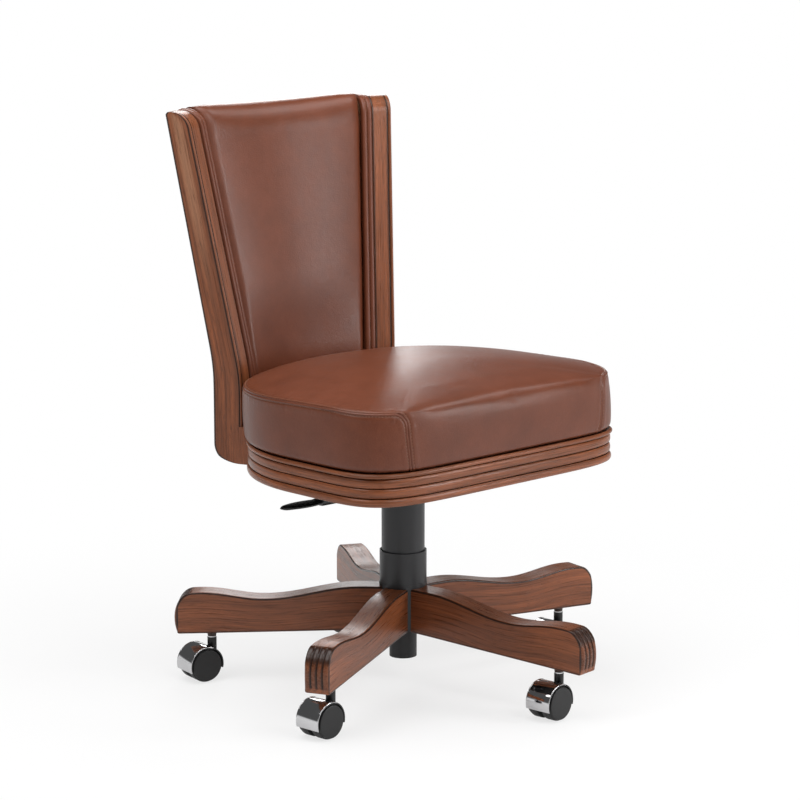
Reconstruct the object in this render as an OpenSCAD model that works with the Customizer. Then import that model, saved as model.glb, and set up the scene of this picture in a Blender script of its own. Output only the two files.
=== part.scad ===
// Swivel chair for a games table: a leather seat and back in a reeded wooden frame,
// on a gas column, five curved wooden arms and hooded twin-wheel castors.
// Millimetres, +Z up. The seat faces -Y and the sitter's right hand is on -X.
// The origin is on the floor, under the middle of the column.
// The chair is drawn with the seat at its lowest.

/* [Seat rail] */
// Half of the rail's greatest width
rail_half_w = 254; // [246:1:262]
// From the widest line to the front of the rail
rail_front = 181; // [176:1:188]
// From the widest line to the back of the rail
rail_back = 230; // [226:1:234]
// How far the widest line lies in front of the column
rail_ahead = 36; // [34:1:38]
// Squareness of the front corners
rail_front_n = 5.8; // [5:0.1:7]
// Roundness of the rail's back
rail_back_n = 2.08; // [2:0.02:2.2]
// Height of the rail's underside above the floor
rail_z = 326; // [323:0.5:330]
// Height of the reeded rail
rail_h = 46; // [44:1:50]
// Thickness of the rail
rail_t = 22; // [20:1:24]

/* [Seat cushion] */
// Height of the side panels up to the seam, above the rail
boxing_h = 80; // [74:1:86]
// Rise of the crown above the seam
crown_h = 31; // [26:1:36]
// Thickness of the leather
leather_t = 2; // [1.5:0.5:2.5]
// How far the cushion's sides swell past the rail
cushion_swell = 4.4; // [3:0.2:6]
// Squareness of the cushion's front corners at the seam
cushion_front_n = 4.6; // [4:0.1:5.8]
// Roundness of the cushion's back edge
cushion_back_n = 2.18; // [2.1:0.02:2.26]
// Thickness of the seat board
board_t = 12; // [10:1:15]
// Width of each cleat under the seat board
cleat_w = 44; // [36:1:50]

/* [Backrest] */
// Width of a post's front face
post_w = 32; // [28:1:36]
// Height of the posts' tops above the floor
post_top = 825.5; // [795:0.5:845]
// Height of the posts' feet above the floor
post_foot = 317; // [314:0.5:320]
// Angle at which each post is turned in towards the middle
toe_in = 22; // [20:1:24]
// Lean of the posts, in millimetres of depth per millimetre of height
lean = 0.187; // [0.17:0.005:0.2]
// Splay of the posts, in millimetres of width per millimetre of height
splay = 0.056; // [0.05:0.002:0.06]
// Round at the top of each post's front
post_top_r = 22; // [16:1:26]
// Round at the back of each post's foot
post_foot_r = 28; // [20:1:32]
// Width of the double welt along each post
welt_w = 15.5; // [13:0.5:17]
// Depth of the pad from the board to the plane of the posts' fronts
pad_t = 20; // [18:1:22]
// How far the pad's crown stands out of that plane
pad_crown = 16; // [12:1:18]
// How far the leather stands above the posts
pad_rise = 6; // [4:1:8]
// Hollow of the back, as a share of half its width
back_sag = 0.165; // [0.15:0.005:0.18]

/* [Base] */
// Reach of the arms from the column's axis
arm_reach = 333; // [323:1:348]
// Width of an arm
arm_w = 36; // [34:1:37]
// Height of the arms' undersides at their tips
arm_z = 70.5; // [69:0.5:76]
// Height of the top of the arms at the hub
arm_top = 144.5; // [141:0.5:147]
// Direction of the first arm, in degrees
arm_turn = 133.3; // [100:0.1:160]
// Depth of the flutes on the arms' ends
flute = 1.6; // [1:0.1:2]
// Diameter of the hub
hub_d = 68; // [66:1:70]

/* [Column] */
// Height through which the seat can be raised
lift = 80; // [60:1:80]
// Outside diameter of the column's tube
tube_d = 40; // [39:0.5:41]
// Height of the tube's lower end above the floor
tube_z = 37.5; // [35:0.5:41]
// Diameter of the gas cylinder
gas_d = 28; // [27:0.5:28]
// Diameter of the piston rod
rod_d = 10; // [9:0.5:11]
// Outside diameter of the lower sleeve
sleeve_d = 68.4; // [68:0.1:69]
// Height of the lower sleeve's rim above the floor
sleeve_rim = 196.5; // [194:0.5:200]

/* [Castors] */
// Distance of the castor stems from the column's axis
castor_r = 280; // [270:1:285]
// Diameter of the wheels
wheel_d = 50; // [48:1:51]
// Width of each wheel
wheel_w = 18; // [16:0.5:19]
// Half of the gap between the two wheels
wheel_gap = 4; // [3.8:0.1:4.5]
// Distance of the axle behind the stem
trail = 20; // [18:1:21]
// Diameter of the stem
stem_d = 8; // [7:0.5:9]

/* [Lever] */
// Reach of the lever's paddle from the column's axis
lever_reach = 236; // [225:1:240]
// Height of the lever's pivot above the rail's underside, counted down
lever_drop = 21.5; // [20:0.5:24]

/* [Hidden] */

$fn = 48;
// clearance round a turning or sliding pin
run = 0.05;
// gap between curved faces that only lie against each other
easy = 0.3;
seat_n = 72;
cushion_n = 48;
rail_top = rail_z + rail_h;
seam_z = rail_top + boxing_h;
crown_z = seam_z + crown_h;
hub_r = hub_d / 2;
tube_r = tube_d / 2;
gas_r = gas_d / 2;
rod_r = rod_d / 2;
wheel_r = wheel_d / 2;
stem_r = stem_d / 2;
// yaw of each castor about its stem
castor_yaw = [-10, 4, 4, 4, 15];
// place of a post before it bends: outer side, front and back, in the post's own turned axes
post_u = 76;
front_v = 223;
back_v = 268;

// ---- shared shapes

// a point on the seat's outline: two half superellipses that meet at the widest line
function outline(th, g, nb, nf = rail_front_n) =
    let (c = cos(th), s = sin(th), b = (s < 0 ? rail_front : rail_back) + g,
         n = s < 0 ? nf : nb,
         r = pow(pow(abs(c) / (rail_half_w + g), n) + pow(abs(s) / b, n), -1 / n))
    [r * c, r * s - rail_ahead];
function seat_loop(g) = [for (i = [0:seat_n - 1]) outline(i * 360 / seat_n, g, rail_back_n)];

// two triangles across four corners
function quad(a, b, c, d) = [[a, b, c], [a, c, d]];
// closed skin over a chain of loops, each end drawn together in one point
module skin(loops, start, end) {
    n = len(loops[0]);
    m = len(loops);
    pts = concat([for (l = loops) each l], [start, end]);
    sides = [for (i = [0:m - 2], j = [0:n - 1]) let (k = (j + 1) % n)
        each quad(i * n + j, (i + 1) * n + j, (i + 1) * n + k, i * n + k)];
    first = [for (j = [0:n - 1]) [n * m, j, (j + 1) % n]];
    last = [for (j = [0:n - 1]) [n * m + 1, (m - 1) * n + (j + 1) % n, (m - 1) * n + j]];
    polyhedron(concat(pts), concat(sides, first, last), convexity = 6);
}
// skin over a chain of flat loops that run out along the front and home along the back
module ladder(loops) {
    n = len(loops[0]);
    m = len(loops);
    h = n / 2;
    sides = [for (i = [0:m - 2], j = [0:n - 1]) let (k = (j + 1) % n)
        each quad(i * n + j, (i + 1) * n + j, (i + 1) * n + k, i * n + k)];
    low = [for (j = [0:h - 2]) each quad(j, j + 1, n - 2 - j, n - 1 - j)];
    t = (m - 1) * n;
    high = [for (j = [0:h - 2]) each quad(t + n - 1 - j, t + n - 2 - j, t + j + 1, t + j)];
    polyhedron([for (l = loops) each l], concat(sides, low, high), convexity = 6);
}
// skin of a closed ring: sections[i] runs round the section, i runs round the ring
module ring_skin(sections) {
    n = len(sections);
    m = len(sections[0]);
    faces = [for (i = [0:n - 1], j = [0:m - 1]) let (k = (j + 1) % m, l = (i + 1) % n)
        each quad(i * m + j, i * m + k, l * m + k, l * m + j)];
    polyhedron([for (s = sections) each s], faces, convexity = 8);
}
// plain tube
module pipe(r_out, r_in, z0, z1) {
    difference() {
        translate([0, 0, z0]) cylinder(r = r_out, h = z1 - z0);
        translate([0, 0, z0 - 1]) cylinder(r = r_in, h = z1 - z0 + 2);
    }
}

// ---- five-arm base

// top of an arm at a distance r from the axis: high at the hub, a dip, then a swell
function arm_dip(r) = arm_top - 10.5 + 10 * cos((r - 60) * 180 / 145);
function arm_swell(r) = arm_top - 20.5 + 4 * (1 - cos((r - 205) * 180 / 85));
function arm_upper(r) = r < 205 ? arm_dip(r) : arm_swell(r);
function arm_lower(r) = arm_z + 12 * (1 - r / arm_reach);
// the arm's end curves over as a quarter of an ellipse, tip_a long and tip_b high
tip_a = 27;
tip_b = 37.7;
tip_z = arm_swell(arm_reach - tip_a) - tip_b;
arm_side = concat(
    [for (r = [30, 140, 240, arm_reach - 7]) [r, arm_lower(r)]],
    [[arm_reach - 4.4, arm_z + 0.9], [arm_reach - 3.2, arm_z + 3], [arm_reach - 1.2, tip_z - 11]],
    [for (a = [0:9:90]) [arm_reach - tip_a + tip_a * cos(a), tip_z + tip_b * sin(a)]],
    [for (r = [arm_reach - 33:-8:62]) [r, arm_upper(r)]],
    [[60, arm_top - 0.5], [30, arm_top - 0.5]]);
// plan of an arm, with its two end corners rounded
corner_r = 5;
arm_plan = concat([[30, -arm_w / 2]],
    [for (a = [-90:22.5:0]) [arm_reach - corner_r + corner_r * cos(a),
        corner_r - arm_w / 2 + corner_r * sin(a)]],
    [for (a = [0:22.5:90]) [arm_reach - corner_r + corner_r * cos(a),
        arm_w / 2 - corner_r + corner_r * sin(a)]],
    [[30, arm_w / 2]]);
module arm_bar(w) { rotate([90, 0, 0]) translate([0, 0, -w / 2]) linear_extrude(w) children(); }
module base_arm(k) {
    color("saddlebrown") rotate([0, 0, arm_turn + 72 * (k - 1)]) difference() {
        intersection() {
            arm_bar(arm_w + 2) polygon(arm_side);
            linear_extrude(300) polygon(arm_plan);
        }
        // saddle against the hub
        cylinder(r = hub_r, h = 300, $fn = 96);
        // flutes that run up the end and over its curve
        for (y = [-0.23, 0, 0.23]) translate([0, y * arm_w, 0]) arm_bar(3.2) difference() {
            polygon(arm_side);
            translate([-flute, -flute]) polygon(arm_side);
            square([arm_reach - 22, 200]);
            square([400, arm_z + 6]);
        }
        // socket of the castor
        translate([castor_r, 0, 0]) cylinder(r = 5.6, h = arm_z + 38);
        // bolts from the hub
        for (z = [-14, 14]) translate([0, 0, bolt_z + z]) rotate([0, 90, 0])
            cylinder(r = 4 + run, h = 86);
    }
}
bolt_z = arm_top - 32;
module centre_hub() {
    z0 = arm_lower(36);
    color("#26272a") difference() {
        translate([0, 0, z0]) cylinder(r = hub_r - run, h = arm_top - 1 - z0, $fn = 96);
        translate([0, 0, z0 + 5]) cylinder(r = hub_r - 5, h = arm_top - z0 - 11);
        cylinder(r = tube_r + run, h = 300);
        for (k = [0:4], z = [-14, 14]) rotate([0, 0, arm_turn + 72 * k])
            translate([0, 0, bolt_z + z]) rotate([0, 90, 0]) cylinder(r = 4 + run, h = 60);
    }
}
// where the flat heads of the arm bolts meet the hub's round inside
bolt_seat = sqrt((hub_r - 5) * (hub_r - 5) - 6 * 6) - run;
module arm_bolts() {
    color("silver") for (k = [0:4], z = [-14, 14]) rotate([0, 0, arm_turn + 72 * k])
        translate([bolt_seat, 0, bolt_z + z]) rotate([0, 90, 0]) {
            translate([0, 0, -4]) cylinder(r = 6, h = 4);
            cylinder(r = 4, h = 54);
        }
}

// ---- castors

// places children on the stem of castor k
module at_castor(k) {
    a = arm_turn + 72 * (k - 1);
    translate([castor_r * cos(a), castor_r * sin(a), 0]) rotate([0, 0, castor_yaw[k - 1]])
        children();
}
collar_z = arm_z - 9;
module castor_sockets() {
    color("#3a2a22") for (k = [1:5]) at_castor(k) difference() {
        union() {
            translate([0, 0, collar_z + 1.5]) cylinder(r1 = 6.1, r2 = 7.8, h = arm_lower(castor_r + 8)
                - collar_z - 1.5);
            translate([0, 0, collar_z + 1.5]) cylinder(r = 5.5, h = 40);
        }
        cylinder(r = stem_r + run, h = 200);
    }
}
module castor_stems() {
    color("silver") for (k = [1:5]) at_castor(k) {
        translate([0, 0, collar_z - 13]) cylinder(r = stem_r, h = 50);
        translate([0, 0, collar_z]) cylinder(r = 6.3, h = 1.5);
    }
}
// wedge seen along the axle, between two angles from the leading side
module wedge(a0, a1) {
    polygon(concat([[0, 0]], [for (i = [0:8]) 60 * [cos(a0 + (a1 - a0) * i / 8),
        sin(a0 + (a1 - a0) * i / 8)]]));
}
module along_axle(w) {
    translate([-trail, 0, wheel_r]) rotate([90, 0, 0]) translate([0, 0, -w / 2])
        linear_extrude(w) children();
}
module band(r_out, r_in, a0, a1) {
    intersection() {
        difference() { circle(r = r_out, $fn = 72); circle(r = r_in, $fn = 72); }
        wedge(a0, a1);
    }
}
hood_a = 68;
module castor_frame(k) {
    color("#1b1b1d") at_castor(k) difference() {
        union() {
            along_axle(40) band(wheel_r + 2.6, wheel_r + 0.5, -14, hood_a);
            along_axle(40) band(wheel_r + 1.3, wheel_r + 0.5, hood_a - 1, 196);
            along_axle(2 * wheel_gap - 0.6) intersection() {
                circle(r = wheel_r + 1, $fn = 72);
                union() { wedge(-14, 90); wedge(89, 196); circle(r = 9); }
            }
            along_axle(36) circle(r = 3);
            translate([0, 0, collar_z - 18.5]) cylinder(r = 6.8, h = 18.5);
        }
        translate([0, 0, collar_z - 14]) cylinder(r = stem_r + run, h = 20);
        // room for the wheels under the collar
        for (s = [-1, 1]) translate([0, s * (wheel_gap + wheel_w / 2 + 0.1), 0])
            along_axle(wheel_w + 0.6) difference() {
                circle(r = wheel_r + 0.5, $fn = 72);
                circle(r = 3.0);
            }
    }
}
module castor_hood(k) {
    color("#d8dadd") at_castor(k) difference() {
        along_axle(41) band(wheel_r + 2.6, wheel_r + 1.35, hood_a + 0.4, 198);
        translate([0, 0, 30]) cylinder(r = 6.85, h = 60);
    }
}
module castor_wheels(k) {
    r = wheel_r;
    w = wheel_w;
    color("#2a2a2c") at_castor(k) translate([-trail, 0, r]) for (s = [0, 180])
        rotate([90, 0, s]) translate([0, 0, wheel_gap]) rotate_extrude($fn = 72) polygon([
            [3 + run, 0], [r - 1.5, 0], [r, 1.5], [r, w - 3], [r - 0.9, w - 0.9], [r - 3, w],
            [r - 4, w - 0.7], [0, w - 0.7], [0, w - 3], [3 + run, w - 3]]);
}

// ---- column

module column_tube() {
    color("#26272a") difference() {
        translate([0, 0, tube_z]) cylinder(r = tube_r, h = sleeve_rim - 5 - tube_z);
        translate([0, 0, tube_z + 4]) cylinder(r = tube_r - 2, h = 300);
        cylinder(r = rod_r + run, h = 100);
    }
}
module guide_bush() {
    color("#e8e4da") {
        pipe(tube_r - 2 - run, gas_r + run, sleeve_rim - 65, sleeve_rim - 5);
        pipe(tube_r, gas_r + run, sleeve_rim - 5, sleeve_rim - 3);
    }
}
sleeve_z = arm_top - 1;
module lower_sleeve() {
    r = sleeve_d / 2;
    color("#303236") difference() {
        union() {
            translate([0, 0, sleeve_z]) cylinder(r = r, h = sleeve_rim - sleeve_z, $fn = 96);
            translate([0, 0, sleeve_z + 2]) cylinder(r = r + 0.5, h = 4, $fn = 96);
        }
        translate([0, 0, sleeve_z + 2]) cylinder(r = r - 1.2, h = 300, $fn = 96);
        translate([0, 0, sleeve_z - 1]) cylinder(r = tube_r + run, h = 300);
    }
}
module middle_sleeve() {
    r = sleeve_d / 2 - 1.5;
    color("#303236") pipe(r, r - 1.1, sleeve_z + 2, sleeve_rim - 2, $fn = 96);
}
module thrust_washer_lower() {
    color("silver") pipe(tube_r - 2.5, rod_r + 2, tube_z + 4, tube_z + 7);
}
module thrust_washer_upper() {
    color("silver") pipe(tube_r - 2.5, rod_r + run, tube_z + 7, tube_z + 10);
}
piston_z = rail_z - 175;
module piston_rod() {
    color("silver") {
        translate([0, 0, tube_z - 4]) cylinder(r = rod_r, h = piston_z - tube_z + 4 + 7);
        translate([0, 0, tube_z + 10]) cylinder(r = rod_r + 3, h = 4);
        translate([0, 0, piston_z]) cylinder(r = gas_r - 2 - run, h = 7);
    }
}
module rod_clip() { color("silver") pipe(rod_r + 4, rod_r + run, tube_z - 2.5, tube_z); }
gas_top = rail_z - 33;
taper_z = gas_top - 50;
module gas_cone() {
    translate([0, 0, taper_z]) cylinder(r1 = gas_r, r2 = gas_r - 1, h = gas_top - taper_z);
}
module gas_cylinder() {
    color("#2d2e31") difference() {
        union() {
            translate([0, 0, tube_z + 24]) cylinder(r = gas_r, h = taper_z - tube_z - 24);
            gas_cone();
        }
        translate([0, 0, tube_z + 28]) cylinder(r = gas_r - 2, h = taper_z - tube_z - 30);
        cylinder(r = rod_r + run, h = tube_z + 60);
        translate([0, 0, gas_top - 22]) cylinder(r = 3 + run, h = 40);
    }
}
box_z = gas_top - 14;
module upper_sleeve() {
    r = sleeve_d / 2 - 2.9;
    color("#303236") pipe(r, r - 1.2, sleeve_z + 4, box_z, $fn = 96);
}

// ---- mechanism under the seat

pivot_x = -45;
pivot_z = rail_z - lever_drop;
plate_z = rail_z - 3;
module mechanism_housing() {
    color("#202124") difference() {
        union() {
            difference() {
                translate([-65, -50, box_z]) cube([130, 100, plate_z - box_z]);
                translate([-62, -47, box_z + 3]) cube([124, 94, 60]);
            }
            translate([0, 0, gas_top - 38]) cylinder(r = 22, h = 38);
            for (y = [-11, 8]) translate([pivot_x - 6, y, box_z + 1]) cube([12, 3,
                pivot_z + 6 - box_z]);
        }
        gas_cone();
        translate([0, 0, taper_z - 20]) cylinder(r = gas_r, h = 20);
        translate([-80, -7, pivot_z - 10]) cube([30, 14, 22]);
        translate([pivot_x, 20, pivot_z]) rotate([90, 0, 0]) cylinder(r = 2.5 + run, h = 40);
    }
}
screw_at = 70;
module mechanism_plate() {
    color("#202124") difference() {
        translate([-90, -90, plate_z]) cube([180, 180, 3]);
        for (x = [-1, 1], y = [-1, 1]) translate([x * screw_at, y * screw_at, plate_z - 1])
            cylinder(r = 3 + run, h = 5);
    }
}
module mechanism_screws() {
    color("silver") for (x = [-1, 1], y = [-1, 1]) translate([x * screw_at, y * screw_at, 0]) {
        translate([0, 0, plate_z - 4]) cylinder(r = 6, h = 4);
        translate([0, 0, plate_z]) cylinder(r = 3, h = 28);
    }
}
module lever_pivot_pin() {
    color("silver") translate([pivot_x, 13, pivot_z]) rotate([90, 0, 0])
        cylinder(r = 2.5, h = 26);
}
crank = 12;
module lever_rod() {
    color("silver") difference() {
        union() {
            translate([pivot_x - 50, 0, pivot_z]) rotate([0, 90, 0]) cylinder(r = 4, h = 103);
            translate([pivot_x - 50, 0, pivot_z]) sphere(r = 4);
            translate([pivot_x - 50, 0, pivot_z]) rotate([0, -90 - atan(crank / 32), 0])
                cylinder(r = 4, h = sqrt(crank * crank + 32 * 32));
            translate([pivot_x - 82, 0, pivot_z - crank]) sphere(r = 4);
            translate([pivot_x - 112, 0, pivot_z - crank]) rotate([0, 90, 0])
                cylinder(r = 4, h = 30);
            translate([pivot_x, 7.5, pivot_z]) rotate([90, 0, 0]) cylinder(r = 6, h = 15);
        }
        translate([pivot_x, 20, pivot_z]) rotate([90, 0, 0]) cylinder(r = 2.5 + run, h = 40);
    }
}
// leaf-shaped grip: a blade with a round end, and a socket on the rod
module lever_paddle() {
    x0 = -lever_reach + 15;
    zc = pivot_z - crank;
    color("#1a1a1c") difference() {
        union() {
            hull() {
                translate([x0, 0, zc - 1]) cylinder(r = 15, h = 5, $fn = 32);
                translate([x0 + 4, 0, zc - 4]) cylinder(r = 9, h = 2, $fn = 32);
                translate([pivot_x - 92, -10, zc - 5]) cube([4, 20, 10]);
            }
            translate([pivot_x - 112, 0, zc]) rotate([0, 90, 0]) cylinder(r = 7, h = 27);
        }
        translate([pivot_x - 112 - run, 0, zc]) rotate([0, 90, 0]) cylinder(r = 4, h = 60);
    }
}
module valve_pin() {
    color("silver") translate([0, 0, gas_top - 15]) cylinder(r = 3, h = pivot_z - 4 - run
        - gas_top + 15);
}

// ---- seat

module seat_prism(g, z0, z1) {
    translate([0, 0, z0]) linear_extrude(z1 - z0) polygon(seat_loop(g));
}
module seat_cleats() {
    color("burlywood") for (s = [-1, 1]) difference() {
        intersection() {
            translate([-300, s * screw_at - cleat_w / 2, rail_z])
                cube([600, cleat_w, rail_h - board_t]);
            seat_prism(-rail_t, rail_z, rail_top);
        }
        for (x = [-1, 1]) translate([x * screw_at, s * screw_at, rail_z - 1])
            cylinder(r = 3 + run, h = 30);
    }
}
module dust_cover() {
    color("#151515") difference() {
        seat_prism(-rail_t + 8, rail_z - 1, rail_z);
        translate([-90.5, -90.5, rail_z - 5]) cube([181, 181, 10]);
    }
}
module seat_board() {
    color("burlywood") seat_prism(-rail_t - easy, rail_top - board_t, rail_top);
}
// one reed of the rail: lower and upper height, depth of its grooves, how far it swells
function reed(z0, z1, deep, swell) =
    [for (i = [0:4]) [-deep + swell * sin(36 * i + 6), z0 + (z1 - z0) * i / 5]];
k_h = rail_h / 46;
rail_section = concat(
    reed(0, 11.5 * k_h, 4, 3.4), reed(11.5 * k_h, 25.5 * k_h, 4.2, 2.6),
    reed(25.5 * k_h, 39 * k_h, 4.2, 2.2), reed(39 * k_h, rail_h, 3.4, 3.4),
    [[-3, rail_h], [-rail_t, rail_h], [-rail_t, 0]]);
// bolts that hold the posts to the rail, along the posts' own depth
function post_xy(u, v) = [u * cos(toe_in) + v * sin(toe_in), v * cos(toe_in) - u * sin(toe_in)];
post_bolt_z = [rail_z + 12.7, rail_z + 28.3];
module post_bolt_axis() {
    for (m = [0, 1]) mirror([m, 0, 0]) for (z = post_bolt_z)
        rotate([0, 0, -toe_in]) translate([post_u - post_w / 2, 0, z]) rotate([-90, 0, 0])
            children();
}
// where a post's bolts cross the outside of the rail
bolt_v = [for (v = [170:0.5:240]) let (p = post_xy(post_u - post_w / 2, v))
    if (pow(p[0] / rail_half_w, rail_back_n) + pow((p[1] + rail_ahead) / rail_back, rail_back_n)
        > 1) v][0];
module seat_rail() {
    color("#6b3a22") difference() {
        ring_skin([for (i = [0:seat_n - 1]) [for (p = rail_section)
            let (q = outline(i * 360 / seat_n, p[0], rail_back_n)) [q[0], q[1], rail_z + p[1]]]]);
        post_bolt_axis() {
            cylinder(r = 4 + run, h = 300);
            cylinder(r = 8, h = bolt_v - rail_t + 4);
        }
    }
}
module post_bolts() {
    color("silver") post_bolt_axis() {
        translate([0, 0, bolt_v - rail_t]) cylinder(r = 6, h = 4);
        translate([0, 0, bolt_v - rail_t]) cylinder(r = 4, h = rail_t + 36);
    }
}
// angle of the front corners from the straight front, and how far round them they reach
corner_a = 54.5;
corner_reach = 19;
function corner(th) = exp(-pow((abs((th + 270) % 360 - 180) - corner_a) / corner_reach, 2));
// rise of the seam above its middle height: highest along the front, drawn down at its corners,
// and falling towards the back
seam_front = 6;
corner_droop = 3.8;
seam_fall = 0.046;
function seam_rise(th, y) =
    seam_front - seam_fall * max(0, y + 120) - corner_droop * corner(th);
// ring of the cushion's side: inset g, share f of the height up to the seam
function side_ring(g, f) = [for (i = [0:cushion_n - 1])
    let (th = i * 360 / cushion_n, q = outline(th, cushion_swell + g, cushion_back_n,
             rail_front_n + (cushion_front_n - rail_front_n) * f))
    [q[0], q[1], rail_top + f * boxing_h + seam_rise(th, q[1]) * f]];
// ring of the cushion's top at k of its size, moved inwards by d: a dome with a soft shoulder
// that is fuller at the back than at the front
shoulder = 0.32;
dome_n = 2.1;
function top_ring(k, d) = [for (i = [0:cushion_n - 1])
    let (th = i * 360 / cushion_n,
         q = outline(th, cushion_swell - 2.6 - d, cushion_back_n, cushion_front_n),
         full = 0.15 + (q[1] + rail_ahead) / 1000, t = min(1, (1 - k) / shoulder),
         h = full * sqrt(1 - (1 - t) * (1 - t)) + (1 - full) * (1 - pow(k, dome_n)))
    [q[0] * k, (q[1] + rail_ahead) * k - rail_ahead,
     seam_z + seam_rise(th, q[1]) * pow(k, 3) + crown_h * h - d]];
// rings of the cushion's surface from the rail up, moved inwards by d
function seat_skin(d) = concat(
    [side_ring(-5 - d, 0)],
    [for (f = [0.12, 0.45, 0.8]) side_ring(-4 * pow(1 - f, 3) - d - (f > 0.7 ? 0.6 : 0), f)],
    [for (k = [1, 0.97, 0.91, 0.83, 0.73, 0.58, 0.4, 0.2]) top_ring(k, d)]);
function reversed(l) = [for (i = [len(l) - 1:-1:0]) l[i]];
module seat_cover() {
    color("#7a4630") skin(concat(reversed(seat_skin(leather_t)), seat_skin(0)),
        [0, -rail_ahead, crown_z - leather_t], [0, -rail_ahead, crown_z]);
}
// how far the faces of the foams stay behind the leather
foam_ease = 0.9;
module seat_foam() {
    d = leather_t + foam_ease;
    color("#e9dcae") skin(seat_skin(d), [0, -rail_ahead, rail_top], [0, -rail_ahead, crown_z - d]);
}

// ---- backrest

// a bend: level up to the height b, then a slope of one, eased over 25 each way
function bend(d) = d < -25 ? 0 : d > 25 ? d : (d + 25) * (d + 25) / 100;
// height at which the posts bend
seat_mid = rail_z + 132.5;
function u_out(z) = post_u + splay * bend(z - seat_mid + 27);
function v_front(z) = front_v + lean * bend(z - seat_mid + 11);
function v_back(z) = back_v + (lean - 0.019) * bend(z - seat_mid - 3);
function levels(z0, z1, n) = [for (i = [0:n]) z0 + (z1 - z0) * i / n];
// where the toe of a post starts, inside the outline of the rail that it is cut to fit
toe_v = bolt_v - 16;
// side of a post, foot to top
post_side = concat(
    [[toe_v, post_foot], [toe_v, rail_top], [front_v, rail_top]],
    [for (z = levels(rail_top + 20, post_top - post_top_r, 22)) [v_front(z), z]],
    [for (a = [15:15:90]) [v_front(post_top) + post_top_r * (1 - cos(a)) - lean * 10,
        post_top - post_top_r + post_top_r * sin(a)]],
    [[v_back(post_top) - 4, post_top], [v_back(post_top), post_top - 4]],
    [for (z = levels(post_top - 20, post_foot + post_foot_r, 24)) [v_back(z), z]],
    [for (a = [15:15:90]) [back_v - post_foot_r * (1 - cos(a)), post_foot + post_foot_r
        * (1 - sin(a))]]);
// front of a post, foot to top
post_face = concat(
    [for (z = levels(post_foot, post_top, 26)) [u_out(z) - post_w, z]],
    [for (z = levels(post_top, post_foot, 26)) [u_out(z), z]]);
module post_left() {
    difference() {
        rotate([0, 0, -toe_in]) intersection() {
            rotate([90, 0, 90]) linear_extrude(200) polygon(post_side);
            translate([0, 400, 0]) rotate([90, 0, 0]) linear_extrude(400) polygon(post_face);
        }
        // notch that fits round the rail
        seat_prism(0.1, post_foot - 1, rail_top + 0.1);
    }
}
module post_drilled() {
    difference() {
        post_left();
        for (z = post_bolt_z) rotate([0, 0, -toe_in])
            translate([post_u - post_w / 2, 0, z]) rotate([-90, 0, 0])
                cylinder(r = 4 + run, h = bolt_v + 37);
    }
}
module back_post_left() { color("#6b3a22") post_drilled(); }
module back_post_right() { color("#6b3a22") mirror([1, 0, 0]) post_drilled(); }

// a point in the back: s across from -1 to 1, height z, depth d behind the posts' fronts,
// i in from the posts' inner faces
function back_pt(s, z, d, i) =
    let (e = post_xy(u_out(z) - post_w, v_front(z) + d), x = s * (e[0] - i * cos(toe_in)))
    [x, e[1] + back_sag * e[0] * (1 - pow(x / e[0], 2)), z];
function across(n) = [for (j = [0:n]) -1 + 2 * j / n];
module back_slab(zs, d0, d1, i, n = 12) {
    ladder([for (z = zs) concat([for (s = across(n)) back_pt(s, z, d0(z), i)],
        [for (s = reversed(across(n))) back_pt(s, z, d1(z), i)])]);
}
function depth(z) = v_back(z) - v_front(z);
pad_z0 = rail_top + 13;
pad_z1 = post_top + pad_rise;
module back_board() {
    color("burlywood") back_slab(levels(pad_z0, post_top - 8, 10), function(z) pad_t + easy,
        function(z) pad_t + 6, easy);
}
module back_bottom_rail() {
    color("burlywood") back_slab(levels(pad_z0, pad_z0 + 40, 3), function(z) pad_t + 6 + easy,
        function(z) depth(z) - 4.5, 0.1);
}
module back_top_rail() {
    color("burlywood") back_slab(levels(post_top - 46, post_top - 8, 1),
        function(z) pad_t + 6 + easy, function(z) depth(z) - 4.5, 0);
}
module rear_panel() {
    color("#7a4630") back_slab(levels(rail_z + 4, post_top - 2, 14), function(z) depth(z) - 4,
        function(z) depth(z) - 1, 0.2);
}
module back_top_roll() {
    z0 = post_top - 7.7;
    color("#7a4630") back_slab([z0, post_top, pad_z1 - 3, pad_z1 - 1],
        function(z) pad_t + easy + (z > post_top + 2 ? (z - post_top - 2) * 0.4 : 0),
        function(z) depth(z) - 4.5 - (z > post_top + 2 ? (z - post_top - 2) * 1.2 : 0), 0.6);
}
// double welt: two round ridges on a strip that lies against the board
module welt(m) {
    n = 9;
    color("#7a4630") mirror([m, 0, 0]) ladder([for (z = levels(pad_z0, post_top - 1, 22)) let (
            top = max(0, z - post_top + post_top_r),
            back = post_top_r - sqrt(post_top_r * post_top_r - top * top) + 1,
            v = v_front(z), u = u_out(z) - post_w - easy) concat(
        [for (j = [0:n - 1]) let (f = j / (n - 1), w = 3.4 * pow(abs(sin(f * 360)), 0.7),
            p = post_xy(u - (welt_w - 2 * easy) * (1 - f), v + back - w)) [p[0], p[1], z]],
        [for (j = [n - 1:-1:0]) let (f = j / (n - 1),
            p = post_xy(u - (welt_w - 2 * easy) * (1 - f), v + pad_t - 2)) [p[0], p[1], z]])]);
}
// how much of the crown shows at a height: none behind the cushion, all of it above
function swell_at(z) = let (f = max(0, min(1, (z - crown_z + 40) / 145))) f * f * (3 - 2 * f);
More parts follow.
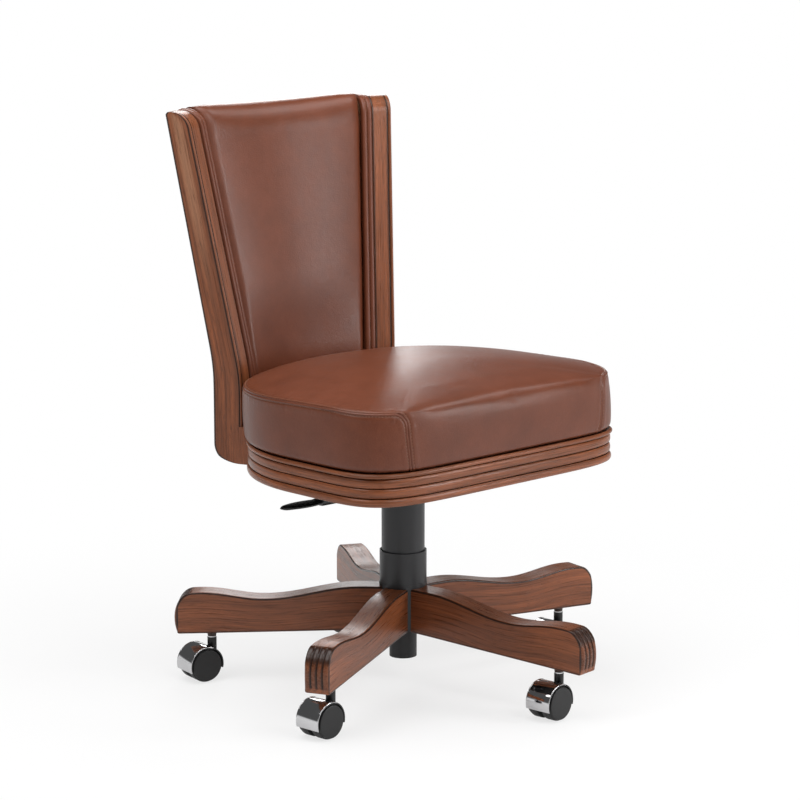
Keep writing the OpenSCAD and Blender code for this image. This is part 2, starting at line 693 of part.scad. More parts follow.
// pad: rings run round a squared oval in the back's own surface
pad_n = 48;
function pad_ring(k, d, g, c = 0, q = 1) = [for (i = [0:pad_n - 1])
    let (th = i * 360 / pad_n, r = 1 / max(abs(cos(th)), abs(sin(th))),
         h = (pad_z1 - pad_z0) / 2 - g, z = (pad_z0 + pad_z1) / 2 + k * h * r * sin(th),
         roll = q * max(0, z - pad_z1 + 16))
    back_pt(k * r * cos(th), z, d + roll * roll / 26 - c * swell_at(z), welt_w + 1 + g)];
// rings of the pad's surface, drawn in by g all round and set back by e more
function pad_skin(g, e = 0) = concat(
    [pad_ring(1, pad_t - 3, g, 0, 0), pad_ring(1, 2 + g + e, g)],
    [for (k = [0.97, 0.91, 0.8, 0.6, 0.3]) pad_ring(k, g + e + 2 - 4 * pow(1 - pow(k, 8), 0.5), g,
        (pad_crown - 2) * (1 - pow(k, 4)))]);
function pad_mid(d) = back_pt(0, (pad_z0 + pad_z1) / 2, d, welt_w);
module back_cover() {
    color("#7a4630") skin(concat(reversed(pad_skin(leather_t)), pad_skin(0)),
        pad_mid(leather_t - pad_crown), pad_mid(-pad_crown));
}
module back_foam() {
    g = leather_t + foam_ease;
    rear = [for (k = [0.3, 0.6, 0.8]) pad_ring(k, pad_t - 3, g, 0, 0)];
    color("#e9dcae") skin(concat(rear, pad_skin(g, foam_ease)), pad_mid(pad_t - 3),
        pad_mid(g + foam_ease - pad_crown));
}

centre_hub();
column_tube();
guide_bush();
lower_sleeve();
thrust_washer_lower();
base_arm(1);  // base_arm_1
base_arm(2);  // base_arm_2
base_arm(3);  // base_arm_3
base_arm(4);  // base_arm_4
base_arm(5);  // base_arm_5
arm_bolts();
castor_sockets();
castor_stems();
piston_rod();
thrust_washer_upper();
rod_clip();
middle_sleeve();
gas_cylinder();
upper_sleeve();
mechanism_housing();
mechanism_plate();
mechanism_screws();
lever_pivot_pin();
lever_rod();
lever_paddle();
valve_pin();
seat_cleats();
dust_cover();
seat_board();
seat_rail();
seat_foam();
seat_cover();
back_post_right();
back_post_left();
post_bolts();
back_bottom_rail();
back_top_rail();
back_board();
back_foam();
back_cover();
back_top_roll();
rear_panel();
welt(1);  // welt_right
welt(0);  // welt_left
castor_frame(1);  // castor_frame_1
castor_hood(1);  // castor_hood_1
castor_wheels(1);  // castor_wheels_1
castor_frame(2);  // castor_frame_2
castor_hood(2);  // castor_hood_2
castor_wheels(2);  // castor_wheels_2
castor_frame(3);  // castor_frame_3
castor_hood(3);  // castor_hood_3
castor_wheels(3);  // castor_wheels_3
castor_frame(4);  // castor_frame_4
castor_hood(4);  // castor_hood_4
castor_wheels(4);  // castor_wheels_4
castor_frame(5);  // castor_frame_5
castor_hood(5);  // castor_hood_5
castor_wheels(5);  // castor_wheels_5
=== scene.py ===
"""Looks of the swivel games-table chair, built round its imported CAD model.

Shapes are worked out in millimetres and turned into metres when a mesh is made.
"""
import math

import bmesh
import bpy
import numpy as np
from mathutils import Matrix, Vector, noise
from mathutils.bvhtree import BVHTree
from mathutils.kdtree import KDTree


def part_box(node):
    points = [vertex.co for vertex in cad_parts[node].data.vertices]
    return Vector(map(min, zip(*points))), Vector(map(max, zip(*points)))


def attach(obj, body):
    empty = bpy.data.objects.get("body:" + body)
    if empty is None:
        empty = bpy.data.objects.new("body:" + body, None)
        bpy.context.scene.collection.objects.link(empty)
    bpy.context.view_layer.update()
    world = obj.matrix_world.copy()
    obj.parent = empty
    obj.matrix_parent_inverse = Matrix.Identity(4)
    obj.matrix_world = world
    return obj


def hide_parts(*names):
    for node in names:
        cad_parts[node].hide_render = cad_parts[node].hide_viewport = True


bl_info = {
    "name": "Games-table chair",
    "version": (1, 0, 0),
    "blender": (4, 5, 0),
    "location": "3D View > Sidebar > Chair",
    "description": "Leather, stained wood and castors of a swivel games-table chair",
    "category": "Object",
}

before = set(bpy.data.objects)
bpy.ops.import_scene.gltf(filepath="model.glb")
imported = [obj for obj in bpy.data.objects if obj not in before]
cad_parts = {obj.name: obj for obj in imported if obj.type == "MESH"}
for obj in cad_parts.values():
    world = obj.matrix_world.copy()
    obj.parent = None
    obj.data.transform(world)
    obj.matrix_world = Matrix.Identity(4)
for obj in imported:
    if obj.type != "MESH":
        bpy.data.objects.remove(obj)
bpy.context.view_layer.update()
MM = 0.001
QUARTER = math.pi / 2


def node_box(node):
    """Lowest and highest corner of a CAD node, in millimetres."""
    low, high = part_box(node)
    return np.array(low) / MM, np.array(high) / MM


def node_heights(node):
    low, high = node_box(node)
    return low[2], high[2]


# Heights that the CAD model gives
RAIL_Z, RAIL_TOP = node_heights("seat_rail")
POST_FOOT, POST_TOP = node_heights("back_post_left")
PAD_Z0, PAD_Z1 = node_heights("back_cover")
ARM_Z, ARM_TOP = node_heights("base_arm_1")
CROWN_Z = node_heights("seat_cover")[1]

# Seat plan: two half superellipses
RAIL_HALF_W = 254.0
RAIL_FRONT = 181.0
RAIL_BACK = 230.0
RAIL_AHEAD = 36.0
RAIL_FRONT_N = 5.8
RAIL_BACK_N = 2.08
RAIL_T = 22.0
RAIL_COLUMNS = 360
# lowest, highest, depth of the groove and reach of each moulding on the rail
REEDS = [(0.0, 11.2, 3.2, 1.4), (11.7, 25.2, 3.4, 0.2), (25.7, 38.6, 3.4, 0.2),
         (39.2, 46.0, 3.0, 2.4)]

# Cushion
CUSHION_FRONT_N = 4.6
CUSHION_BACK_N = 2.18
CUSHION_SWELL = 4.4
SEAM_INSET = 2.6
BOXING_H = 80.0
CROWN_H = CROWN_Z - RAIL_TOP - BOXING_H - 1.8
SHOULDER_SPAN = 0.32
DOME_N = 2.1
FRONT_ROUND = 15.0
FRONT_ROUND_TO = 50.0
CORNER_AT = 54.5
CORNER_REACH = 19.0
CORNER_DROOP = 3.8
SEAM_FRONT = 6.0
SEAM_FALL = 0.046
SEAM_CORNER_R = 19.0
SEAM_LEAN = 0.12
FRONT_SEAM_X = 187.0
STITCH_OFFSET = 4.3
SEAT_STITCH = (4.4, 3.3, 0.4)  # pitch, length, radius
WELT_STITCH = (4.6, 3.6, 0.5)
UNDER_OUT = -24.0
UNDER_Z = RAIL_TOP + 0.4
GRID_WIDE, GRID_DEEP = 76, 50
SIDE_HEIGHTS = [0.4, 1.6, 3, 5, 8, 12, 18, 25, 32, 39, 46, 52, 58, 63, 68, 72, 75, 77.3, 79, 80]
SHOULDER_TURNS = [0.1, 0.2, 0.3, 0.42, 0.56, 0.72, 0.92, 1.2, QUARTER]
CLOTH = {"use_pressure": True, "uniform_pressure_force": 1.6, "vertex_group_mass": "held",
         "mass": 0.3, "tension_stiffness": 25, "compression_stiffness": 25,
         "shear_stiffness": 12, "bending_stiffness": 4}
CLOTH_FRAMES = 20
CLOTH_CAP = 0.0018
HELD_BY_SEAM = 5
HELD_BY_RAIL = 6

# Backrest, in the posts' own turned axes: u outwards, v backwards
POST_W = 32.0
POST_U = 76.0
FRONT_V = 223.0
BACK_V = 268.0
TOE_IN = math.radians(22)
LEAN = 0.187
BACK_LEAN = LEAN - 0.019
SPLAY = 0.056
SEAT_MID = RAIL_Z + 132.5
BEND_HALF = 25
POST_TOP_R = 22.0
POST_FOOT_R = 28.0
POST_STRAIGHT = POST_TOP - POST_TOP_R
BEAD_IN = 2.6
BEAD_R = 2.2
BEAD_PROUD = 1.9
WELT_W = 15.5
WELT_H = 3.6
WELT_BACK = 9
BACK_SAG = 0.165
PAD_CROWN = 16.0
PAD_T = 20.0
PAD_ROLL = 46.0
PAD_EDGE_DEPTH = 7.0
REAR_GAP = 3.6
REAR_OUTSIDE = 2.4
REAR_INSIDE = 3.9
REAR_PUFF = 1.6
REAR_INSET = 0.4
PIPING_R = 2.0

# Base
ARM_REACH = 333.0
ARM_ROOT = 36
ARM_W = 36.0
ARM_DIP = 20
ARM_DIP_FROM = 60
ARM_DIP_TO = 205
ARM_SWELL = 8
ARM_SWELL_RUN = 85
ARM_BELOW = 1.8
ARM_RISE = 12
ARM_EDGE_R = 2.2
ARM_PLAN_R = 5.0
ARM_TURN = math.radians(133.3)
HUB_R = 34.0
TIP_A = 27.0
TIP_B = 37.7
FLUTES = (-0.24, 0.0, 0.24)
FLUTE_W = 1.5
FLUTE_DEPTH = 1.9

# Castors
CASTOR_R = 280.0
CASTOR_YAW = [math.radians(a) for a in (-10, 4, 4, 4, 15)]
WHEEL_R = 25.0
WHEEL_W = 18.0
WHEEL_GAP = 4.0
TRAIL = 20.0
HOOD_FROM = math.radians(68)
HOOD_TO = math.radians(198)
HOOD_W = 41.0
LIP_SHIFT = 19.9

# Lever grip: shares of its length, then half sizes
GRIP_LEAF = 0.62
GRIP_WIDE = 15
GRIP_THICK = 3.1
GRIP_NECK = 6.9

# The photograph's viewpoint, in metres
CAMERA_AT = Vector((-2.8758, -2.9872, 1.2179))
CAMERA_BACK = Vector((-0.6802, -0.7081, 0.1898)).normalized()
CAMERA_RIGHT = Vector((0.7212, -0.6928, 0.0)).normalized()
LENS = 132.35

# Light
WALL_TOP = (0.02, 0.12)  # height shares between which mirrors see the ceiling begin
CEILING = 0.1
FILL = 0.2
FLOOR_HALF = 45.0
LAMPS_FACE = Vector((0.0, 0.0, 0.5))
# name, metres ahead, to the camera's right and up, width, height, watts
SOFTBOXES = [("top", 0.2, -0.3, 1.9, 1.2, 1.2, 18),
             ("right", 0.5, 2.0, 0.9, 0.55, 0.9, 15),
             ("high_right", -0.55, 1.25, 2.3, 0.9, 0.9, 12),
             ("front_right", 1.4, 1.4, 2.0, 1.1, 1.1, 20),
             ("front_left", 0.9, -1.4, 2.0, 1.0, 1.0, 13),
             ("behind", -1.9, -0.2, 1.2, 0.5, 1.1, 8)]


# Shader expressions


def math_operator(operation):
    """An operator of Signal that adds a Math node."""
    def apply(self, other):
        return self.shader.math(operation, self, other)
    return apply


class Signal:
    """A socket inside a shader expression. The operators add Math nodes."""

    def __init__(self, shader, socket):
        self.shader = shader
        self.socket = socket

    __add__ = __radd__ = math_operator("ADD")
    __mul__ = __rmul__ = math_operator("MULTIPLY")
    __sub__ = math_operator("SUBTRACT")


class Shader:
    """A node tree. Its node method makes any node; the others are short forms of it."""

    def __init__(self, owner, surface="Principled BSDF", **constants):
        owner.use_nodes = True
        self.owner = owner
        self.tree = owner.node_tree
        self.surface = self.tree.nodes[surface]
        self.finish(**constants)

    def finish(self, **values):
        """Sets or links inputs of the surface and gives the owner of the tree."""
        for socket, value in values.items():
            self.give(self.surface.inputs[socket.replace("_", " ")], value)
        return self.owner

    def give(self, socket, value):
        if isinstance(value, Signal):
            self.tree.links.new(value.socket, socket)
        elif isinstance(value, (tuple, list)) and socket.type == "RGBA":
            socket.default_value = (*value[:3], 1.0)
        else:
            socket.default_value = value

    def node(self, kind, settings=None, sockets=None, output=0):
        made = self.tree.nodes.new(kind)
        for name, value in (settings or {}).items():
            setattr(made, name, value)
        for name, value in (sockets or {}).items():
            self.give(made.inputs[name], value)
        return Signal(self, made.outputs[output])

    def math(self, operation, *values):
        return self.node("ShaderNodeMath", {"operation": operation}, dict(enumerate(values)))

    def vector(self, operation, vector, other):
        return self.node("ShaderNodeVectorMath", {"operation": operation}, {0: vector, 1: other})

    def scaled(self, vector, factors):
        return self.vector("MULTIPLY", vector, factors)

    def place(self, output="Object"):
        return self.node("ShaderNodeTexCoord", output=output)

    def field(self, name, output="Fac"):
        return self.node("ShaderNodeAttribute", {"attribute_name": name}, output=output)

    def noise(self, vector, scale, detail=2.0, roughness=0.5, output="Fac"):
        return self.node("ShaderNodeTexNoise", {}, {
            "Vector": vector, "Scale": scale, "Detail": detail, "Roughness": roughness}, output)

    def cells(self, vector, scale, feature="F1"):
        return self.node("ShaderNodeTexVoronoi", {"feature": feature},
                         {"Vector": vector, "Scale": scale}, "Distance")

    def step(self, value, low, high):
        return self.node("ShaderNodeMapRange", {"interpolation_type": "SMOOTHSTEP"},
                         {"Value": value, "From Min": low, "From Max": high}, "Result")

    def ramp(self, value, stops):
        made = self.node("ShaderNodeValToRGB", {}, {"Fac": value}, "Color")
        elements = made.socket.node.color_ramp.elements
        while len(elements) < len(stops):
            elements.new(0.5)
        for element, (place, colour) in zip(elements, stops):
            element.position = place
            element.color = (*colour, 1.0)
        return made

    def blend(self, share, first, second):
        return self.node("ShaderNodeMix", {"data_type": "RGBA"},
                         {0: share, 6: first, 7: second}, 2)

    def bump(self, height, distance, strength=1.0):
        return self.node("ShaderNodeBump", {}, {
            "Height": height, "Distance": distance, "Strength": strength}, "Normal")

    def ray_is(self, *kinds):
        """One where the ray is of this kind or of either of two kinds, else nought."""
        found = [self.node("ShaderNodeLightPath", output=kind) for kind in kinds]
        return found[0] if len(found) == 1 else self.math("MAXIMUM", *found)


def surface(name, specular):
    return Shader(bpy.data.materials.new(name), Specular_IOR_Level=specular)


def tint(colour, factor, lift=0.0):
    return tuple(min(1.0, c * factor + lift) for c in colour)


def leather(name, colour, seed):
    """Waxed leather: cloudy brown with a fine pebble and faint creases."""
    s = surface(name, 0.36)
    at = s.vector("ADD", s.place(), (seed, 0.37 * seed, 0.0))
    cloud = s.noise(at, 6.5, 3.0, 0.55)
    mottle = s.noise(at, 38.0, 4.0, 0.6)
    speck = s.noise(at, 420.0, 2.0, 0.6)
    tone = cloud * 0.42 + mottle * 0.36 + speck * 0.24
    base = s.ramp(tone, [(0.3, tint(colour, 0.72)), (0.52, colour),
                         (0.76, tint(colour, 1.28, 0.002))])
    pebble = s.cells(at, 620.0)
    crease = s.step(s.cells(s.scaled(at, (1.0, 1.0, 1.25)), 150.0, "DISTANCE_TO_EDGE"), 0.0, 0.09)
    height = pebble * 0.35 + crease * 0.18 + s.noise(at, 70.0, 3.0) * 0.8
    rough = 0.27 + mottle * 0.1 + speck * 0.06
    return s.finish(Base_Color=base, Roughness=rough, Normal=s.bump(height, 0.0004, 0.55))


def stained_wood(name, colour):
    """Stained, glazed and lacquered wood.

    The field grain runs along, across and into a piece. The glaze field is 1 where dark glaze
    and painted shade darken grooves and edges, and below 0 where a paler, greyer painted sheen
    is laid on the wood.
    """
    s = surface(name, 0.38)
    grain = s.field("grain", "Vector")
    wander = s.noise(s.scaled(grain, (5.0, 30.0, 30.0)), 1.0, 2.0, output="Color")
    bent = s.vector("ADD", grain, s.scaled(wander, (0.0, 0.006, 0.006)))
    figure = s.noise(s.scaled(bent, (3.2, 120.0, 120.0)), 1.0, 3.0, 0.55)
    fibre = s.noise(s.scaled(bent, (14.0, 620.0, 620.0)), 1.0, 3.0, 0.6)
    pores = s.step(s.noise(s.scaled(bent, (70.0, 1500.0, 1500.0)), 1.0, 1.0), 0.6, 0.72)
    tone = figure * 0.45 + fibre * 0.55
    shades = [tint(colour, factor) for factor in (0.4, 0.72, 1.0, 1.6)]
    base = s.ramp(tone, list(zip((0.32, 0.44, 0.54, 0.7), shades)))
    # painted sheen: paler, greyer copies of the shades, laid where the glaze field is below 0
    sheen_shades = [tuple(c ** 0.62 for c in shade) for shade in shades]
    painted_sheen = s.step(s.field("glaze") * -1.0, 0.0, 1.0)
    base = s.blend(painted_sheen, base, s.ramp(tone, list(zip((0.3, 0.44, 0.54, 0.72), sheen_shades))))
    base = s.blend(pores * 0.75, base, shades[0])
    # dark glaze and painted shade in grooves and at edges, broken up by the fibre
    glaze = s.step(s.field("glaze") + (fibre - 0.5) * 0.35, 0.15, 0.85)
    base = s.blend(glaze * 0.93, base, (0.012, 0.006, 0.0045))
    rough = 0.22 + fibre * 0.14 - glaze * 0.04
    return s.finish(Base_Color=base, Roughness=rough,
                    Normal=s.bump(fibre * 0.5 - pores * 0.9, 0.00025, 0.6))


def plywood(name, dark, light):
    s = surface(name, 0.35)
    grain = s.noise(s.scaled(s.place(), (9.0, 260.0, 260.0)), 1.0, 3.0)
    return s.finish(Base_Color=s.ramp(grain, [(0.35, dark), (0.65, light)]),
                    Roughness=0.6 + grain * 0.15, Normal=s.bump(grain, 0.0002, 0.4))


def painted(name, colour, roughness, grit=0.1):
    """Paint or moulded plastic with a fine orange peel."""
    s = surface(name, 0.45)
    at = s.place()
    wear = s.noise(at, 30.0, 3.0)
    return s.finish(Base_Color=s.blend(wear, tint(colour, 0.85), tint(colour, 1.15)),
                    Roughness=roughness + (wear - 0.5) * 0.12,
                    Normal=s.bump(s.noise(at, 900.0), 0.0001, grit))


def plated(name, colour, roughness, brushed=0.02):
    """Bright metal with faint rubbing marks."""
    s = Shader(bpy.data.materials.new(name), Metallic=1.0)
    rub = s.noise(s.scaled(s.place(), (60.0, 60.0, 900.0)), 1.0)
    return s.finish(Base_Color=s.blend(rub, tint(colour, 0.94), colour),
                    Roughness=roughness + (rub - 0.5) * brushed * 2,
                    Normal=s.bump(rub, 0.00005, brushed * 4))


def thread(name, colour):
    s = surface(name, 0.3)
    twist = s.noise(s.place(), 1400.0, 1.0)
    return s.finish(Base_Color=s.blend(twist, tint(colour, 0.6), colour),
                    Roughness=0.6 + twist * 0.2)


def woven(name, colour):
    s = surface(name, 0.2)
    weave = s.noise(s.scaled(s.place(), (900.0, 900.0, 900.0)), 1.0, 1.0)
    return s.finish(Base_Color=s.blend(weave, tint(colour, 0.5), tint(colour, 1.4)),
                    Roughness=0.85 + weave * 0.1, Normal=s.bump(weave, 0.0003, 0.5))


# maker, then its values: a colour, or the name of a colour in the settings, comes first
FINISHES = {
    "leather_seat": (leather, "leather", 0.0),
    "leather_back": (leather, "leather", 3.1),
    "stained_wood": (stained_wood, "wood"),
    "plywood": (plywood, (0.42, 0.27, 0.15), (0.62, 0.45, 0.28)),
    "black_paint": (painted, (0.012, 0.012, 0.013), 0.38),
    "charcoal_sleeve": (painted, "column", 0.4, 0.25),
    "black_plastic": (painted, (0.009, 0.009, 0.0095), 0.36, 0.3),
    "wheel_disc": (painted, (0.0135, 0.0135, 0.014), 0.48, 0.5),
    "brown_plastic": (painted, (0.05, 0.028, 0.02), 0.45),
    "white_plastic": (painted, (0.7, 0.68, 0.62), 0.4),
    "chrome": (plated, (0.6, 0.6, 0.61), 0.07),
    "zinc_steel": (plated, (0.5, 0.5, 0.51), 0.3, 0.1),
    "thread": (thread, "thread"),
    "lining": (woven, (0.02, 0.02, 0.02)),
}
finishes_made = {}


def finish(name):
    """The material of a finish, made once and then shared."""
    if name not in finishes_made:
        maker, colour, *values = FINISHES[name]
        if isinstance(colour, str):
            colour = tuple(getattr(bpy.context.scene.chair_colours, colour))
        finishes_made[name] = maker(name, colour, *values)
    return finishes_made[name]


# Lines and meshes


def smooth(x):
    x = np.clip(x, 0, 1)
    return x * x * (3 - 2 * x)


def run_along(path):
    """Distance along a path at each of its points."""
    return np.concatenate([[0], np.cumsum(np.linalg.norm(np.diff(path, axis=0), axis=1))])


def place_on(path, run, at):
    """The point of a path, or of values along it, at a distance along it."""
    return np.array([np.interp(at, run, path[:, i]) for i in range(3)])


def unit(vector):
    return vector / (np.linalg.norm(vector) + 1e-9)


def circle(sides):
    """Cosines and sines of even steps round a circle."""
    angles = np.linspace(0, 2 * math.pi, sides, endpoint=False)
    return np.cos(angles), np.sin(angles)


def table(*columns):
    """Rows made of columns, each an array or one number."""
    return np.column_stack(np.broadcast_arrays(*columns))


def raised(at, z, side=1):
    """Plan points brought to a height, and mirrored where side is -1."""
    return table(at[:, 0] * side, at[:, 1], z)


def grid_faces(rows, cols, wrap_rows=False, wrap_cols=True):
    """Quads over a grid of points that is stored row by row."""
    faces = []
    for i in range(rows if wrap_rows else rows - 1):
        k = (i + 1) % rows
        for j in range(cols if wrap_cols else cols - 1):
            n = (j + 1) % cols
            faces.append((i * cols + j, i * cols + n, k * cols + n, k * cols + j))
    return faces


def tube(rings):
    """Points and faces of a closed tube from its rings, with both ends capped."""
    count = len(rings[0])
    faces = grid_faces(len(rings), count)
    faces.append(tuple(range(count))[::-1])
    faces.append(tuple((len(rings) - 1) * count + j for j in range(count)))
    return np.concatenate(rings), faces


def slab(rows):
    """Points and faces of a closed slab from rows of points that follow each other round it."""
    count = len(rows[0])
    faces = grid_faces(len(rows), count, wrap_rows=True, wrap_cols=False)
    faces += [tuple(i * count + j for i in range(len(rows))) for j in (0, count - 1)]
    return np.concatenate(rows), faces


def joined(parts):
    """One list of points and faces from several."""
    faces = []
    start = 0
    for own_points, own_faces in parts:
        faces += [tuple(start + i for i in f) for f in own_faces]
        start += len(own_points)
    return np.concatenate([own_points for own_points, _ in parts]), faces


def lathe(profile, sides=64):
    """A closed body of revolution about +X from (radius, along) points."""
    c, s = circle(sides)
    return tube([table(along, r * c, r * s) for r, along in profile])


def stitches(path, normals, pitch, length, radius, sides=6, rings=5):
    """Short thread stitches that lie along a path on a surface, in millimetres."""
    path = np.asarray(path, float)
    normals = np.asarray(normals, float)
    run = run_along(path)
    c, s = circle(sides)
    parts = []
    for place in np.arange(pitch / 2, run[-1] - pitch / 2, pitch):
        middle = place_on(path, run, place)
        along = unit(place_on(path, run, place + length / 2) - middle)
        up = place_on(normals, run, place)
        up = unit(up - along * up.dot(along))
        side = np.cross(along, up)
        rows = []
        for t in np.linspace(-1, 1, rings):
            r = radius * math.sqrt(max(0.12, 1 - t * t))
            centre = middle + along * t * length / 2 + up * radius * (0.75 - 1.1 * t * t)
            rows.append(centre + r * (c[:, None] * side + s[:, None] * up))
        parts.append(tube(rows))
    return joined(parts)


def make_piece(name, points, faces, material, body, stands_for=(), slot=None, flat_above=None,
               **fields):
    """A mesh piece from points in millimetres, with its finish, its body and its extra fields."""
    mesh = bpy.data.meshes.new(name)
    mesh.from_pydata((np.asarray(points, float) * MM).tolist(), [], faces)
    for field, values in fields.items():
        values = np.asarray(values, np.float32)
        vector = values.ndim == 2
        layer = mesh.attributes.new(field, "FLOAT_VECTOR" if vector else "FLOAT", "POINT")
        layer.data.foreach_set("vector" if vector else "value", values.ravel())
    work = bmesh.new()
    work.from_mesh(mesh)
    bmesh.ops.recalc_face_normals(work, faces=work.faces)
    work.to_mesh(mesh)
    work.free()
    mesh.shade_smooth()
    if flat_above:
        mesh.set_sharp_from_angle(angle=math.radians(flat_above))
    piece = bpy.data.objects.new(name, mesh)
    bpy.context.collection.objects.link(piece)
    piece.data.materials.append(finish(material))
    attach(piece, body)
    if stands_for:
        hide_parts(*stands_for)
    return piece


def make_wooden(name, points, faces, body, node, flat_above, grain, glaze):
    """A piece of stained wood in place of a CAD node, with grain given in millimetres."""
    make_piece(name, points, faces, "stained_wood", body, [node], "stained_wood", flat_above,
               grain=np.concatenate(grain) * MM, glaze=np.concatenate(glaze))


# Seat plan


def outline(angle, out, back_n, front_n=RAIL_FRONT_N):
    """Point of the seat's plan at an angle about its middle, grown outwards by out."""
    c, s = np.cos(angle), np.sin(angle)
    b = np.where(s < 0, RAIL_FRONT, RAIL_BACK) + out
    n = np.where(s < 0, front_n, back_n)
    r = (np.abs(c / (RAIL_HALF_W + out)) ** n + np.abs(s / b) ** n) ** (-1 / n)
    return np.stack([r * c, r * s - RAIL_AHEAD], -1)


# Reeded rail


def rail_section():
    """Points (out, height, glaze) round the rail's section: four rounded mouldings, then inside.

    The glaze value darkens the grooves between the mouldings: dark glaze and painted shade.
    """
    points = [(-3.0, 0.0, 0.3)]
    for low, high, deep, out in REEDS:
        for t in np.linspace(0, math.pi, 13):
            swell = math.sin(t) ** 0.62
            height = (low + high) / 2 - math.cos(t) * (high - low) / 2
            # darker between the mouldings: glaze and painted shade in the grooves
            points.append((-deep + (deep + out) * swell, height, 1 - min(1.0, swell * 1.25)))
    points += [(-5.0, 46.0, 0.6), (-RAIL_T, 46.0, 0.0), (-RAIL_T, 0.0, 0.0)]
    return np.array(points).T


class CHAIR_OT_rail(bpy.types.Operator):
    """The reeded wooden band round the seat"""
    bl_idname = "chair.rail"
    bl_label = "Reeded rail"

    def execute(self, context):
        out, height, dark = rail_section()
        dense = QUARTER + np.linspace(0, 2 * math.pi, 4001)
        run = run_along(outline(dense, 0.0, RAIL_BACK_N))
        points, grain = [], []
        for along in np.linspace(0, run[-1], RAIL_COLUMNS, endpoint=False):
            at = outline(np.interp(along, run, dense), out, RAIL_BACK_N)
            points.append(raised(at, RAIL_Z + height))
            grain.append(table(along, height, out))
        faces = grid_faces(RAIL_COLUMNS, len(out), wrap_rows=True)
        make_wooden("reeded_rail", np.concatenate(points), faces, "seat", "seat_rail", 50,
                    grain, [dark] * RAIL_COLUMNS)
        return {"FINISHED"}


# Cushion


def from_front(angle):
    """Degrees round the plan from the middle of the front."""
    return np.abs((np.degrees(angle) + 270) % 360 - 180)


def seam_rise(angle, y):
    """Height of the seam above its middle: high along the front, drawn down at the corners."""
    droop = np.exp(-((from_front(angle) - CORNER_AT) / CORNER_REACH) ** 2)
    return SEAM_FRONT - SEAM_FALL * np.maximum(0, y + 120) - CORNER_DROOP * droop


def side_point(angle, height):
    """Cushion side panel at a plan angle, height in millimetres above the rail, up to the seam."""
    f = np.clip(height / BOXING_H, 0, 1)
    # narrower towards the rail and the seam, and tucked in at its foot
    out = (CUSHION_SWELL - 4.2 * (1 - f) ** 3 - SEAM_INSET * f ** 5 - 7.0 * np.exp(-height / 2.2)
           - 0.8 * np.sin(math.pi * f))
    front_n = RAIL_FRONT_N + (CUSHION_FRONT_N - RAIL_FRONT_N) * f
    at = outline(angle, out, CUSHION_BACK_N, front_n)
    return raised(at, RAIL_TOP + height + seam_rise(angle, at[:, 1]) * f)


def top_point(angle, turn, share):
    """Cushion top: turn goes round the shoulder, then share shrinks to the middle."""
    edge = outline(angle, CUSHION_SWELL - SEAM_INSET, CUSHION_BACK_N, CUSHION_FRONT_N)
    k = share * (1 - SHOULDER_SPAN * (1 - np.cos(turn)))
    full = 0.15 + (edge[:, 1] + RAIL_AHEAD) / 1000
    height = full * np.sin(turn) + (1 - full) * (1 - k ** DOME_N)
    z = RAIL_TOP + BOXING_H + seam_rise(angle, edge[:, 1]) * k ** 3 + CROWN_H * height
    return table(edge[:, 0] * k, (edge[:, 1] + RAIL_AHEAD) * k - RAIL_AHEAD, z)


def cushion_point(angle, height, steps=60):
    """Any point near the seam: below it on the side, above it by arc length on the top."""
    places = side_point(angle, np.minimum(height, BOXING_H))
    for i in np.nonzero(height > BOXING_H)[0]:
        arc = top_point(np.full(steps, angle[i]), np.linspace(0, 1.0, steps), 1)
        places[i] = place_on(arc, run_along(arc), height[i] - BOXING_H)
    return places


def round_over(rows, edge, reach, share):
    """Rounds each column of a grid over its edge row, by its share of the full rounding."""
    grid = np.stack(rows)
    for j in np.nonzero(share > 0)[0]:
        column = grid[:, j]
        run = run_along(column)
        run -= run[edge]
        before, after = (place_on(column, run, at) for at in (-reach, reach))
        inside = np.abs(run) < reach
        t = ((run[inside] + reach) / (2 * reach))[:, None]
        bent = (1 - t) ** 2 * before + 2 * t * (1 - t) * column[edge] + t ** 2 * after
        grid[inside, j] = column[inside] + (bent - column[inside]) * share[j]
    return list(grid)


def seam_path(offset, angle_at, length):
    """The top seam with its two legs down the front corners, moved towards the top by offset."""
    start, r = FRONT_SEAM_X, SEAM_CORNER_R
    leg = [(start - offset, h) for h in np.arange(1, BOXING_H - r, 1.0)]
    turn = [(start + r - (r + offset) * math.cos(t), BOXING_H - r + (r + offset) * math.sin(t))
            for t in np.linspace(0, QUARTER, 24)]
    flat = [(p, BOXING_H + offset) for p in np.arange(start + r + 1, length / 2, 1.0)]
    first = np.array(leg + turn + flat)
    first[:, 0] += SEAM_LEAN * np.minimum(first[:, 1], BOXING_H)
    second = first[::-1].copy()
    second[:, 0] = length - second[:, 0]
    path = np.concatenate([first, second])
    return cushion_point(angle_at(path[:, 0]), path[:, 1])


def nearest(points, path):
    """Distance from each point to the closest place on a dense path, and that place's index."""
    tree = KDTree(len(path))
    for i, p in enumerate(path):
        tree.insert(p, i)
    tree.balance()
    found = [tree.find(p)[1:] for p in points.tolist()]
    return np.array([f[1] for f in found]), np.array([f[0] for f in found])


def vertex_values(mesh, kind="co"):
    """Places or normals of a mesh's vertices."""
    out = np.empty(len(mesh.vertices) * 3, np.float32)
    mesh.vertices.foreach_get(kind, out)
    return out.reshape(-1, 3).astype(float)


def laid_on(mesh, path):
    """The closest places to a path on a mesh's surface and the normals there."""
    tree = BVHTree.FromPolygons(vertex_values(mesh).tolist(),
                                [tuple(f.vertices) for f in mesh.polygons])
    found = [tree.find_nearest(Vector(p)) for p in (np.asarray(path) * MM).tolist()]
    return np.array([f[0] for f in found]) / MM, np.array([f[1] for f in found])


def set_places(mesh, places):
    mesh.vertices.foreach_set("co", np.asarray(places, np.float32).ravel())
    mesh.update()


